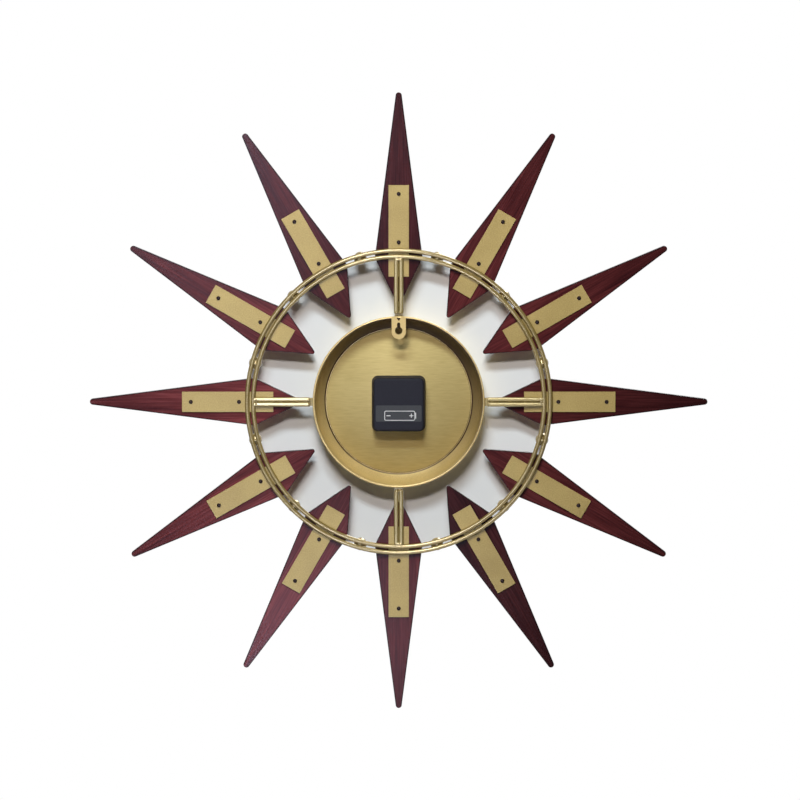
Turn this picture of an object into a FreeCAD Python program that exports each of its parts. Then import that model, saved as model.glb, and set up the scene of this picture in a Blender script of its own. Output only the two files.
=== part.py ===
# Sunburst wall clock with a double rod ring, twelve wooden spokes and a spun pan.
# Millimetres, +Z up. The origin is on the axis of the hands, halfway through the depth.
# The dial faces -Y and the wall is at +Y. "Depth" below is measured forward from the wall.

import FreeCAD, Part

import math
import os

import Sketcher

DIMENSIONS = [
    ("wallPlane", 19.5, "from the middle of the depth back to the wall"),
    ("spokeCount", 12, "spokes, straps, balls and hour markers"),
    ("rodRadius", 2.75, "round steel rod of rings and struts"),
    ("ringOuterRadius", 186.9, "centreline of the outer ring"),
    ("ringInnerRadius", 179.4, "centreline of the inner ring"),
    ("ballRadius", 8, "ball in the groove of the two rings"),
    ("studRadius", 1.0, "stud of a ball, between the rings"),
    ("spokeInner", 116.9, "sharp inner corner of a spoke, from the centre"),
    ("spokeWidest", 177.8, "widest place of a spoke, from the centre"),
    ("spokeHalfWidth", 29.4, "half of its width there"),
    ("spokeTip", 381, "outer end of a spoke, from the centre"),
    ("spokeTipRadius", 3.75, "rounding of the outer end"),
    ("spokeThickness", 8, "thickness of the board"),
    ("spokeInnerRounding", 2.6, "rounding of the inner corner"),
    ("spokeSideRounding", 5, "rounding of the widest corners"),
    ("spokeEdge", 0.8, "eased edge of the board"),
    ("strapWidth", 25, "flat steel strap"),
    ("strapInner", 154.7, "inner end of the strap, from the centre"),
    ("strapOuter", 267.2, "outer end of the strap"),
    ("strapThickness", 1.6, "thickness of the flat steel"),
    ("strapHoleRadius", 1.7, "clearance hole for a screw"),
    ("screwInner", 196.9, "inner screw, from the centre"),
    ("screwOuter", 256.4, "outer screw, from the centre"),
    ("screwHeadRadius", 2.5, "pan head"),
    ("screwHeadHeight", 1.7, "pan head"),
    ("screwFlatRadius", 1.5, "flat top of the head"),
    ("screwShoulderRadius", 2.3, "rounded shoulder of the head"),
    ("screwShoulderHeight", 1, "rounded shoulder of the head"),
    ("screwSideHeight", 0.4, "upright side of the head"),
    ("screwShankRadius", 1.3, "wood screw"),
    ("screwLength", 8, "under the head"),
    ("pilotRadius", 1.35, "pilot hole in the spoke"),
    ("pilotDepth", 6.8, "pilot hole in the spoke"),
    ("strutSpacing", 6.2, "between the axes of the two rods of a strut"),
    ("strutInner", 109.5, "inner end of the strut rods"),
    ("strutShort", 1, "rods end this far inside the inner ring's centreline"),
    ("tabWidth", 10, "tab that joins the strut to the pan"),
    ("tabOuter", 124, "outer end of the tab"),
    ("tabThickness", 1.6, "thickness of the tab"),
    ("tabSink", 0.3, "how far the welded tab reaches into the rods"),
    ("panMouthRadius", 103, "inside of the pan at its rim"),
    ("panThickness", 1.2, "spun sheet"),
    ("panArcRadius", 27.9, "inside radius of the spun wall"),
    ("panArcDepth", 4.5, "depth at which the wall starts to curve"),
    ("panSeatDepth", 28, "depth of the face on which the dial rests"),
    ("panLipRadius", 84, "front opening"),
    ("beadRadius", 1.55, "rolled rim"),
    ("hangerThickness", 1.5, "keyhole plate"),
    ("hangerWidth", 17.5, "keyhole plate"),
    ("hangerTop", 105.4, "upper end of the plate, from the centre"),
    ("hangerEnd", 86.8, "centre of the round lower end, from the centre"),
    ("keyholeHeight", 88.5, "centre of the round hole, from the centre"),
    ("keyholeRadius", 4.75, "round hole"),
    ("keySlotWidth", 3.8, "slot above the round hole"),
    ("keySlotTop", 98.5, "upper end of the slot"),
    ("notchHalfWidth", 3, "notch in the upper end of the plate"),
    ("notchBottom", 100.4, "point of the notch"),
    ("dialRadius", 89.6, "dial plate"),
    ("dialThickness", 1, "dial plate"),
    ("dialHoleRadius", 4.15, "hole for the movement's bushing"),
    ("markerInner", 64, "hour marker, from the centre"),
    ("markerOuter", 79, "hour marker, from the centre"),
    ("markerInnerHalf", 1.2, "half width of a marker at its inner end"),
    ("markerOuterHalf", 2.2, "half width of a marker at its outer end"),
    ("markerHeight", 1.4, "above the dial"),
    ("caseSize", 56, "square quartz movement"),
    ("caseThickness", 16, "square quartz movement"),
    ("caseRounding", 4, "upright edges of the movement"),
    ("washerGap", 0.1, "between a washer and the bushing"),
    ("threadGap", 0.02, "between the nut and the bushing"),
    ("gasketThickness", 0.5, "rubber washer"),
    ("gasketRadius", 9, "rubber washer"),
    ("bushingRadius", 4, "threaded bushing, M8"),
    ("bushingLength", 4.5, "in front of the movement"),
    ("hourTubeRadius", 2.5, "outside of the hour tube"),
    ("minuteTubeRadius", 1.7, "outside of the minute cannon"),
    ("secondArborRadius", 0.5, "arbor of the second hand"),
    ("runningGap", 0.05, "radial clearance of a turning shaft"),
    ("arborBoreDepth", 18.5, "depth at which the bore of the movement ends"),
    ("hourTubeBack", 21.5, "depth of the hour tube's inner end"),
    ("minuteTubeBack", 20.5, "depth of the minute cannon's inner end"),
    ("secondArborBack", 19.5, "depth of the second arbor's inner end"),
    ("hourHandDepth", 32, "depth of the back of the hour hand"),
    ("minuteHandDepth", 34.2, "depth of the back of the minute hand"),
    ("secondHandDepth", 36.2, "depth of the back of the second hand"),
    ("handThickness", 0.6, "blade of a hand"),
    ("colletHeight", 0.7, "collet behind a blade"),
    ("capHeight", 2.2, "dome on the second hand"),
    ("capRounding", 1.75, "rounded edge of the dome"),
    ("capBore", 0.5, "bore in the dome"),
    ("arborInCap", 0.4, "end of the arbor in the dome"),
    ("hourHub", 6, "radius of the hub"),
    ("hourCollet", 3.7, "radius of the collet"),
    ("hourLength", 50, "tip, from the axis"),
    ("hourTipHalf", 0.6, "half width of the tip"),
    ("hourBelly", 32, "widest place of the blade, from the axis"),
    ("hourBellyHalf", 3.1, "half width there"),
    ("hourRootHalf", 2, "half width at the axis"),
    ("hourTail", 12, "end of the tail, from the axis"),
    ("hourTailHalf", 2.4, "half width of the tail"),
    ("minuteHub", 5, "radius of the hub"),
    ("minuteCollet", 2.7, "radius of the collet"),
    ("minuteLength", 73, "tip, from the axis"),
    ("minuteTipHalf", 0.5, "half width of the tip"),
    ("minuteBelly", 50, "widest place of the blade, from the axis"),
    ("minuteBellyHalf", 2.6, "half width there"),
    ("minuteRootHalf", 1.7, "half width at the axis"),
    ("minuteTail", 14, "end of the tail, from the axis"),
    ("minuteTailHalf", 2.2, "half width of the tail"),
    ("secondHub", 3.2, "radius of the hub and its dome"),
    ("secondCollet", 1.1, "radius of the collet"),
    ("secondLength", 75, "tip, from the axis"),
    ("secondTipHalf", 0.35, "half width of the tip"),
    ("secondBelly", 40, "place between hub and tip, from the axis"),
    ("secondBellyHalf", 0.5, "half width there"),
    ("secondRootHalf", 0.7, "half width at the axis"),
    ("secondTail", 24, "end of the tail, from the axis"),
    ("secondTailHalf", 1.1, "half width of the tail"),
    ("nutRadius", 6.9, "corners of the hexagon nut"),
    ("nutHeight", 2, "hexagon nut"),
    ("washerThickness", 0.5, "metal washer"),
    ("washerRadius", 7.5, "metal washer"),
    ("bayLength", 52.4, "battery bay"),
    ("bayWidth", 15.2, "battery bay"),
    ("bayDrop", 17.5, "axis of the cell below the hands' axis"),
    ("bayDepth", 15, "battery bay"),
    ("cellRadius", 7.2, "AA cell"),
    ("cellLength", 49.3, "AA cell without its nub"),
    ("cellEdge", 0.6, "sloped edge at both ends of the cell"),
    ("cellShift", 0.2, "axis of the cell behind the middle of its bay"),
    ("nubRadius", 2.75, "positive end"),
    ("nubLength", 1.1, "positive end"),
    ("contactThickness", 0.5, "battery contact"),
    ("contactWidth", 11, "battery contact"),
    ("contactInset", 1, "contact from the mouth and the floor of the bay"),
    ("knobSide", 15, "setting knob, sideways from the axis"),
    ("knobHeight", 13, "setting knob, above the axis"),
    ("knobRadius", 6, "setting knob"),
    ("knobThickness", 2.6, "setting knob"),
    ("knobStem", 2, "radius of the knob's stem"),
    ("knobStemLength", 6, "stem in the movement"),
    ("knobStemGap", 0.5, "beyond the end of the stem"),
    ("knobGap", 0.3, "between the knob and the movement"),
    ("fluteRadius", 0.7, "grip flutes of the knob"),
    ("fluteOut", 0.28, "centre of a flute beyond the knob's radius"),
    ("fluteCount", 16, "grip flutes of the knob"),
    ("coverWidth", 66.6, "cover at its open end"),
    ("coverHeight", 69.4, "cover at its open end"),
    ("coverDrop", 3.6, "middle of the cover below the hands' axis"),
    ("coverBack", 5, "depth of the cover's outer face"),
    ("coverGap", 0.2, "between the cover's edge and the dial plate"),
    ("coverDraft", 5, "draft angle of the cover, in degrees"),
    ("coverRounding", 8, "upright edges of the cover"),
    ("coverEdge", 3, "rounded edge of the cover's face"),
    ("coverWall", 1.5, "wall of the cover"),
    ("ribLength", 8, "friction ribs in the cover"),
    ("ribThickness", 1.4, "friction ribs in the cover"),
    ("ribSpread", 17, "ribs from the middle of a side"),
    ("ribGap", 0.15, "between a rib and the movement"),
    ("ribSink", 1.05, "root of a rib, from the outside of the cover's open edge"),
]

REST_MINUTE_ANGLE = 57.0     # the hands show 10:09:30
REST_HOUR_ANGLE = 304.75
REST_SECOND_ANGLE = 180.0
QUARTER_NAMES = ["top", "right", "bottom", "left"]

doc = FreeCAD.newDocument("SunburstWallClock")
sheet = doc.addObject("Spreadsheet::Sheet", "Dims")
for row, (alias, number, meaning) in enumerate(DIMENSIONS, start=1):
    sheet.set("A%d" % row, "'" + alias)
    sheet.set("B%d" % row, str(number))
    sheet.set("C%d" % row, "'" + meaning)
    sheet.setAlias("B%d" % row, alias)
doc.recompute()

DIAL_FRONT = "Dims.panSeatDepth"
DIAL_BACK = "(Dims.panSeatDepth - Dims.dialThickness)"
CASE_FRONT = "(%s - Dims.gasketThickness)" % DIAL_BACK
CASE_BACK = "(%s - Dims.caseThickness)" % CASE_FRONT
ROD_DEPTH = "(Dims.hangerThickness + Dims.rodRadius)"
STRAP_DEPTH = "(Dims.hangerThickness + 2 * Dims.rodRadius)"
SPOKE_DEPTH = "(%s + Dims.strapThickness)" % STRAP_DEPTH

nodes = []


def value(expression):
    """The number that an expression on the sheet stands for."""
    result = sheet.evalExpression(str(expression))
    return float(getattr(result, "Value", result))


def keep(node, label):
    """Names a finished sub-part; its label is the name of its file."""
    node.Label = label
    nodes.append(node)
    return node


def put(node, depth, turn=0.0):
    """Stands a sub-part at a depth from the wall, turned clockwise as the dial shows it."""
    rotation = FreeCAD.Rotation(FreeCAD.Vector(0, 1, 0), turn)
    node.Placement = FreeCAD.Placement(FreeCAD.Vector(0, 0, 0), rotation)
    node.setExpression("Placement.Base.y", "Dims.wallPlane - %s" % depth)


def new_body(name):
    return doc.addObject("PartDesign::Body", name)


def origin_feature(body, role):
    return [item for item in body.Origin.OriginFeatures if item.Role == role][0]


def new_sketch(body, name, role="XZ_Plane", offset=None):
    sketch = body.newObject("Sketcher::SketchObject", name)
    sketch.AttachmentSupport = [(origin_feature(body, role), "")]
    sketch.MapMode = "FlatFace"
    if offset:
        sketch.setExpression("AttachmentOffset.Base.z", offset)
    return sketch


def bind_constraint(sketch, constraint, expression):
    index = sketch.addConstraint(constraint)
    sketch.setExpression("Constraints[%d]" % index, str(expression))


def pin_point(sketch, geometry, vertex, across, up):
    """Ties one point of a sketch to two expressions, or to an axis where one is zero."""
    if value(across) == 0:
        sketch.addConstraint(Sketcher.Constraint("PointOnObject", geometry, vertex, -2))
    else:
        distance = Sketcher.Constraint("DistanceX", -1, 1, geometry, vertex, value(across))
        bind_constraint(sketch, distance, across)
    if value(up) == 0:
        sketch.addConstraint(Sketcher.Constraint("PointOnObject", geometry, vertex, -1))
    else:
        distance = Sketcher.Constraint("DistanceY", -1, 1, geometry, vertex, value(up))
        bind_constraint(sketch, distance, up)


def polygon(sketch, corners):
    """A closed outline of straight lines through corners given as two expressions each."""
    places = [FreeCAD.Vector(value(across), value(up), 0) for across, up in corners]
    lines = []
    for index, start in enumerate(places):
        end = places[(index + 1) % len(places)]
        lines.append(sketch.addGeometry(Part.LineSegment(start, end), False))
    for index, line in enumerate(lines):
        following = lines[(index + 1) % len(lines)]
        sketch.addConstraint(Sketcher.Constraint("Coincident", line, 2, following, 1))
    for line, (across, up) in zip(lines, corners):
        pin_point(sketch, line, 1, across, up)
    return lines


def rectangle(sketch, left, bottom, right, top):
    return polygon(sketch, [(left, bottom), (right, bottom), (right, top), (left, top)])


def circle(sketch, across, up, radius):
    middle = FreeCAD.Vector(value(across), value(up), 0)
    outline = Part.Circle(middle, FreeCAD.Vector(0, 0, 1), value(radius))
    geometry = sketch.addGeometry(outline, False)
    bind_constraint(sketch, Sketcher.Constraint("Radius", geometry, value(radius)), radius)
    pin_point(sketch, geometry, 3, across, up)
    return geometry


def arc(sketch, across, up, radius, start, end):
    """An arc drawn anticlockwise between two angles in degrees, not yet constrained."""
    middle = FreeCAD.Vector(value(across), value(up), 0)
    full = Part.Circle(middle, FreeCAD.Vector(0, 0, 1), value(radius))
    return sketch.addGeometry(Part.ArcOfCircle(full, math.radians(start), math.radians(end)), False)


def line(sketch, start, end):
    return sketch.addGeometry(Part.LineSegment(FreeCAD.Vector(*start, 0), FreeCAD.Vector(*end, 0)), False)


def join(sketch, first, first_end, second, second_end, kind="Coincident"):
    sketch.addConstraint(Sketcher.Constraint(kind, first, first_end, second, second_end))


def rounded_rectangle(sketch, half_width, half_height, radius):
    """A rectangle about the sketch's origin with a tangent arc at each corner."""
    rounding = value(radius)
    centres = ["((%s) - (%s))" % (half, radius) for half in (half_width, half_height)]
    reach = [value(centre) for centre in centres]
    signs = ((1, 1), (-1, 1), (-1, -1), (1, -1))
    sides, corners = [], []
    for quarter, sign in enumerate(signs):
        before = signs[quarter - 1]
        turn = math.radians(90 * quarter)
        out = (rounding * math.cos(turn), rounding * math.sin(turn))
        start = (before[0] * reach[0] + out[0], before[1] * reach[1] + out[1])
        end = (sign[0] * reach[0] + out[0], sign[1] * reach[1] + out[1])
        sides.append(line(sketch, start, end))
        place = [("-" if way < 0 else "") + centre for way, centre in zip(sign, centres)]
        corners.append((arc(sketch, *place, radius, 90 * quarter, 90 * quarter + 90), place))
    for quarter, (corner, place) in enumerate(corners):
        join(sketch, sides[quarter], 2, corner, 1, "Tangent")
        join(sketch, corner, 2, sides[(quarter + 1) % 4], 1, "Tangent")
        pin_point(sketch, corner, 3, *place)
        bind_constraint(sketch, Sketcher.Constraint("Radius", corner, rounding), radius)


def pad(body, sketch, length, backwards=False, draft=None):
    """Sketches on the XZ plane pad towards the dial side, or towards the wall if backwards."""
    feature = body.newObject("PartDesign::Pad", sketch.Name + "Pad")
    feature.Profile = sketch
    feature.setExpression("Length", str(length))
    feature.Reversed = backwards
    if draft:
        feature.setExpression("TaperAngle", draft)
    doc.recompute()
    return feature


def pocket(body, sketch, depth, reversed_way=True, draft=None):
    """Cuts into what was padded forward, or into what was padded backwards if not reversed."""
    before = body.Shape.Volume
    feature = body.newObject("PartDesign::Pocket", sketch.Name + "Pocket")
    feature.Profile = sketch
    feature.setExpression("Length", str(depth))
    feature.Reversed = reversed_way
    if draft:
        feature.setExpression("TaperAngle", draft)
    doc.recompute()
    if body.Shape.Volume > before - 0.01:
        raise RuntimeError("%s cuts nothing" % feature.Name)
    return feature


def revolve(body, sketch, axis, degrees=360.0):
    feature = body.newObject("PartDesign::Revolution", sketch.Name + "Revolution")
    feature.Profile = sketch
    feature.ReferenceAxis = (sketch, [axis])
    feature.Angle = degrees
    doc.recompute()
    return feature


def spread_round(body, originals, count):
    """Repeats features evenly about the axis of the hands."""
    pattern = body.newObject("PartDesign::PolarPattern", body.Name + "Pattern")
    pattern.Originals = originals
    pattern.Axis = (origin_feature(body, "Y_Axis"), [""])
    pattern.Angle = 360
    pattern.setExpression("Occurrences", count)
    body.Tip = pattern
    doc.recompute()
    return pattern


def edge_names(shape, wanted):
    return ["Edge%d" % index for index, edge in enumerate(shape.Edges, start=1) if wanted(edge)]


def is_upright(edge):
    """True for a straight edge that runs through the thickness of a flat piece."""
    start, end = edge.Vertexes[0].Point, edge.Vertexes[-1].Point
    return abs(start.y - end.y) > 0.1 and math.hypot(start.x - end.x, start.z - end.z) < 0.01


def lies_at(edge, depth):
    """True for an edge that lies in the plane y = -depth of a body."""
    return abs(edge.BoundBox.YMin + depth) < 0.01 and abs(edge.BoundBox.YMax + depth) < 0.01


def stands_at(edge, height):
    """True for an edge that starts at a height in its sketch."""
    return abs(edge.Vertexes[0].Point.z - height) < 0.01


def round_edges(body, base, edges, radius, name):
    feature = body.newObject("PartDesign::Fillet", name)
    feature.Base = (base, edges)
    feature.setExpression("Radius", radius)
    doc.recompute()
    return feature


def tube(name, label, radius, bore, length, depth_back, turn=0.0):
    """A plain tube or washer along the axis of the hands."""
    body = new_body(name)
    sketch = new_sketch(body, name + "Section")
    circle(sketch, "0", "0", radius)
    circle(sketch, "0", "0", bore)
    pad(body, sketch, length)
    put(body, depth_back, turn)
    return keep(body, label)


# Wooden spokes, flat straps and their screws

def spoke_turn(number):
    """Spoke 1 points up; the others follow clockwise as the dial shows them."""
    return 360 / value("Dims.spokeCount") * (number - 1)


def make_spoke(number):
    body = new_body("Spoke%02d" % number)
    outline = new_sketch(body, "SpokeOutline%02d" % number)
    inner, widest = value("Dims.spokeInner"), value("Dims.spokeWidest")
    half_width, tip_radius = value("Dims.spokeHalfWidth"), value("Dims.spokeTipRadius")
    tip_centre = "Dims.spokeTip - Dims.spokeTipRadius"
    slant = math.degrees(math.atan2(half_width - tip_radius, value(tip_centre) - widest))
    side = tip_radius * math.cos(math.radians(slant))
    side_end = value(tip_centre) + tip_radius * math.sin(math.radians(slant))
    right_inner = line(outline, (0, inner), (half_width, widest))
    right_outer = line(outline, (half_width, widest), (side, side_end))
    tip = arc(outline, "0", tip_centre, "Dims.spokeTipRadius", slant, 180 - slant)
    left_outer = line(outline, (-side, side_end), (-half_width, widest))
    left_inner = line(outline, (-half_width, widest), (0, inner))
    join(outline, right_inner, 2, right_outer, 1)
    join(outline, right_outer, 2, tip, 1, "Tangent")
    join(outline, tip, 2, left_outer, 1, "Tangent")
    join(outline, left_outer, 2, left_inner, 1)
    join(outline, left_inner, 2, right_inner, 1)
    pin_point(outline, right_inner, 1, "0", "Dims.spokeInner")
    pin_point(outline, right_outer, 1, "Dims.spokeHalfWidth", "Dims.spokeWidest")
    pin_point(outline, left_inner, 1, "-Dims.spokeHalfWidth", "Dims.spokeWidest")
    pin_point(outline, tip, 3, "0", tip_centre)
    bind_constraint(outline, Sketcher.Constraint("Radius", tip, tip_radius), "Dims.spokeTipRadius")
    board = pad(body, outline, "Dims.spokeThickness")

    near_inner = edge_names(board.Shape, lambda edge: is_upright(edge) and stands_at(edge, inner))
    rounded = round_edges(body, board, near_inner, "Dims.spokeInnerRounding", "InnerRounding%02d" % number)
    at_sides = edge_names(rounded.Shape, lambda edge: is_upright(edge) and stands_at(edge, widest))
    rounded = round_edges(body, rounded, at_sides, "Dims.spokeSideRounding", "SideRounding%02d" % number)
    thickness = value("Dims.spokeThickness")
    rims = edge_names(rounded.Shape, lambda edge: lies_at(edge, 0) or lies_at(edge, thickness))
    round_edges(body, rounded, rims, "Dims.spokeEdge", "SpokeEdge%02d" % number)

    holes = new_sketch(body, "SpokePilots%02d" % number)
    circle(holes, "0", "Dims.screwInner", "Dims.pilotRadius")
    circle(holes, "0", "Dims.screwOuter", "Dims.pilotRadius")
    pocket(body, holes, "Dims.pilotDepth")
    put(body, SPOKE_DEPTH, spoke_turn(number))
    keep(body, "spoke_%02d" % number)


def make_strap(number):
    body = new_body("Strap%02d" % number)
    sketch = new_sketch(body, "StrapOutline%02d" % number)
    rectangle(sketch, "-Dims.strapWidth / 2", "Dims.strapInner", "Dims.strapWidth / 2", "Dims.strapOuter")
    circle(sketch, "0", "Dims.screwInner", "Dims.strapHoleRadius")
    circle(sketch, "0", "Dims.screwOuter", "Dims.strapHoleRadius")
    pad(body, sketch, "Dims.strapThickness")
    put(body, STRAP_DEPTH, spoke_turn(number))
    keep(body, "strap_%02d" % number)


def make_screws():
    """Pan-head screws: each is turned from a half profile about its own axis."""
    body = new_body("StrapScrews")
    turned = []
    for name, place in (("InnerScrew", "Dims.screwInner"), ("OuterScrew", "Dims.screwOuter")):
        sketch = new_sketch(body, name, "YZ_Plane")
        point = "-Dims.screwLength"
        profile = [
            ("Dims.screwHeadHeight", place),
            ("Dims.screwHeadHeight", place + " + Dims.screwFlatRadius"),
            ("Dims.screwShoulderHeight", place + " + Dims.screwShoulderRadius"),
            ("Dims.screwSideHeight", place + " + Dims.screwHeadRadius"),
            ("0", place + " + Dims.screwHeadRadius"),
            ("0", place + " + Dims.screwShankRadius"),
            (point + " + 2 * Dims.screwShankRadius", place + " + Dims.screwShankRadius"),
            (point, place),
        ]
        polygon(sketch, profile)
        axis = sketch.addGeometry(Part.LineSegment(
            FreeCAD.Vector(0, value(place), 0), FreeCAD.Vector(1, value(place), 0)), True)
        pin_point(sketch, axis, 1, "0", place)
        pin_point(sketch, axis, 2, "1", place)
        turned.append(revolve(body, sketch, "Axis0"))
    spread_round(body, turned, "Dims.spokeCount")
    put(body, STRAP_DEPTH)
    keep(body, "strap_screws")


# Double ring, balls and struts

def torus(name, radius, rod_radius):
    """A ring of round rod about the axis of the hands."""
    ring = doc.addObject("Part::Torus", name)
    ring.setExpression("Radius1", radius)
    ring.setExpression("Radius2", rod_radius)
    rotation = FreeCAD.Rotation(FreeCAD.Vector(1, 0, 0), -90)
    ring.Placement = FreeCAD.Placement(FreeCAD.Vector(0, 0, 0), rotation)
    return ring


def make_rings():
    for name, label, radius in (
        ("RingOuter", "ring_outer", "Dims.ringOuterRadius"),
        ("RingInner", "ring_inner", "Dims.ringInnerRadius"),
    ):
        ring = torus(name, radius, "Dims.rodRadius")
        ring.setExpression("Placement.Base.y", "Dims.wallPlane - %s" % ROD_DEPTH)
        keep(ring, label)


def make_balls():
    """Each ball touches both rods; its stud runs back through the gap between them."""
    body = new_body("RingBalls")
    middle = "(Dims.ringOuterRadius + Dims.ringInnerRadius) / 2"
    half_gap = "(Dims.ringOuterRadius - Dims.ringInnerRadius) / 2"
    stand_off = "sqrt((Dims.ballRadius + Dims.rodRadius)^2 - (%s)^2)" % half_gap
    sketch = new_sketch(body, "BallProfile", "YZ_Plane")
    centre, height = -value(stand_off), value(middle)
    radius, stud = value("Dims.ballRadius"), value("Dims.studRadius")
    meet = math.sqrt(radius ** 2 - stud ** 2)
    start_angle = math.degrees(math.asin(stud / radius))
    ball = arc(sketch, "-" + stand_off, middle, "Dims.ballRadius", start_angle, 180)
    bottom = line(sketch, (centre - radius, height), (0, height))
    end = line(sketch, (0, height), (0, height + stud))
    side = line(sketch, (0, height + stud), (centre + meet, height + stud))
    join(sketch, ball, 2, bottom, 1)
    join(sketch, bottom, 2, end, 1)
    join(sketch, end, 2, side, 1)
    join(sketch, side, 2, ball, 1)
    sketch.addConstraint(Sketcher.Constraint("Horizontal", bottom))
    sketch.addConstraint(Sketcher.Constraint("Vertical", end))
    sketch.addConstraint(Sketcher.Constraint("Horizontal", side))
    bind_constraint(sketch, Sketcher.Constraint("Radius", ball, radius), "Dims.ballRadius")
    pin_point(sketch, ball, 3, "-" + stand_off, middle)
    pin_point(sketch, bottom, 2, "0", middle)
    bind_constraint(sketch, Sketcher.Constraint("DistanceY", end, 1, end, 2, stud), "Dims.studRadius")
    axis = sketch.addGeometry(Part.LineSegment(
        FreeCAD.Vector(0, height, 0), FreeCAD.Vector(1, height, 0)), True)
    pin_point(sketch, axis, 1, "0", middle)
    pin_point(sketch, axis, 2, "1", middle)
    turned = revolve(body, sketch, "Axis0")
    spread_round(body, [turned], "Dims.spokeCount")
    put(body, ROD_DEPTH, spoke_turn(1.5))
    keep(body, "ring_balls")


def make_strut(index):
    """Two rods side by side, coped to the inner ring and held on the pan by a flat tab."""
    label = QUARTER_NAMES[index]
    rods = []
    for side, sign in (("Left", "-"), ("Right", "")):
        rod = doc.addObject("Part::Cylinder", "Strut%sRod%s" % (label, side))
        rod.setExpression("Radius", "Dims.rodRadius")
        rod.setExpression("Height", "Dims.ringInnerRadius - Dims.strutShort - Dims.strutInner")
        rod.setExpression("Placement.Base.x", sign + "Dims.strutSpacing / 2")
        rod.setExpression("Placement.Base.z", "Dims.strutInner")
        rods.append(rod)
    tab = doc.addObject("Part::Box", "Strut%sTab" % label)
    tab.setExpression("Length", "Dims.tabWidth")
    tab.setExpression("Width", "Dims.tabThickness")
    tab.setExpression("Height", "Dims.tabOuter - Dims.panMouthRadius")
    tab.setExpression("Placement.Base.x", "-Dims.tabWidth / 2")
    tab.setExpression("Placement.Base.y", "Dims.tabSink - Dims.rodRadius - Dims.tabThickness")
    tab.setExpression("Placement.Base.z", "Dims.panMouthRadius")
    welded = doc.addObject("Part::MultiFuse", "Strut%sWelded" % label)
    welded.Shapes = rods + [tab]
    ring = torus("Strut%sRingTool" % label, "Dims.ringInnerRadius", "Dims.rodRadius")
    bowl = doc.addObject("Part::Cylinder", "Strut%sPanTool" % label)
    bowl.setExpression("Radius", "Dims.panMouthRadius + Dims.panThickness")
    bowl.setExpression("Height", "2 * Dims.wallPlane")
    rotation = FreeCAD.Rotation(FreeCAD.Vector(1, 0, 0), 90)
    bowl.Placement = FreeCAD.Placement(FreeCAD.Vector(0, 0, 0), rotation)
    bowl.setExpression("Placement.Base.y", "Dims.wallPlane")
    tools = doc.addObject("Part::MultiFuse", "Strut%sTools" % label)
    tools.Shapes = [ring, bowl]
    strut = doc.addObject("Part::Cut", "Strut" + label)
    strut.Base = welded
    strut.Tool = tools
    doc.recompute()
    put(strut, ROD_DEPTH, 360 / len(QUARTER_NAMES) * index)
    keep(strut, "strut_" + label)


# Pan, dial and hanger

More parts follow.
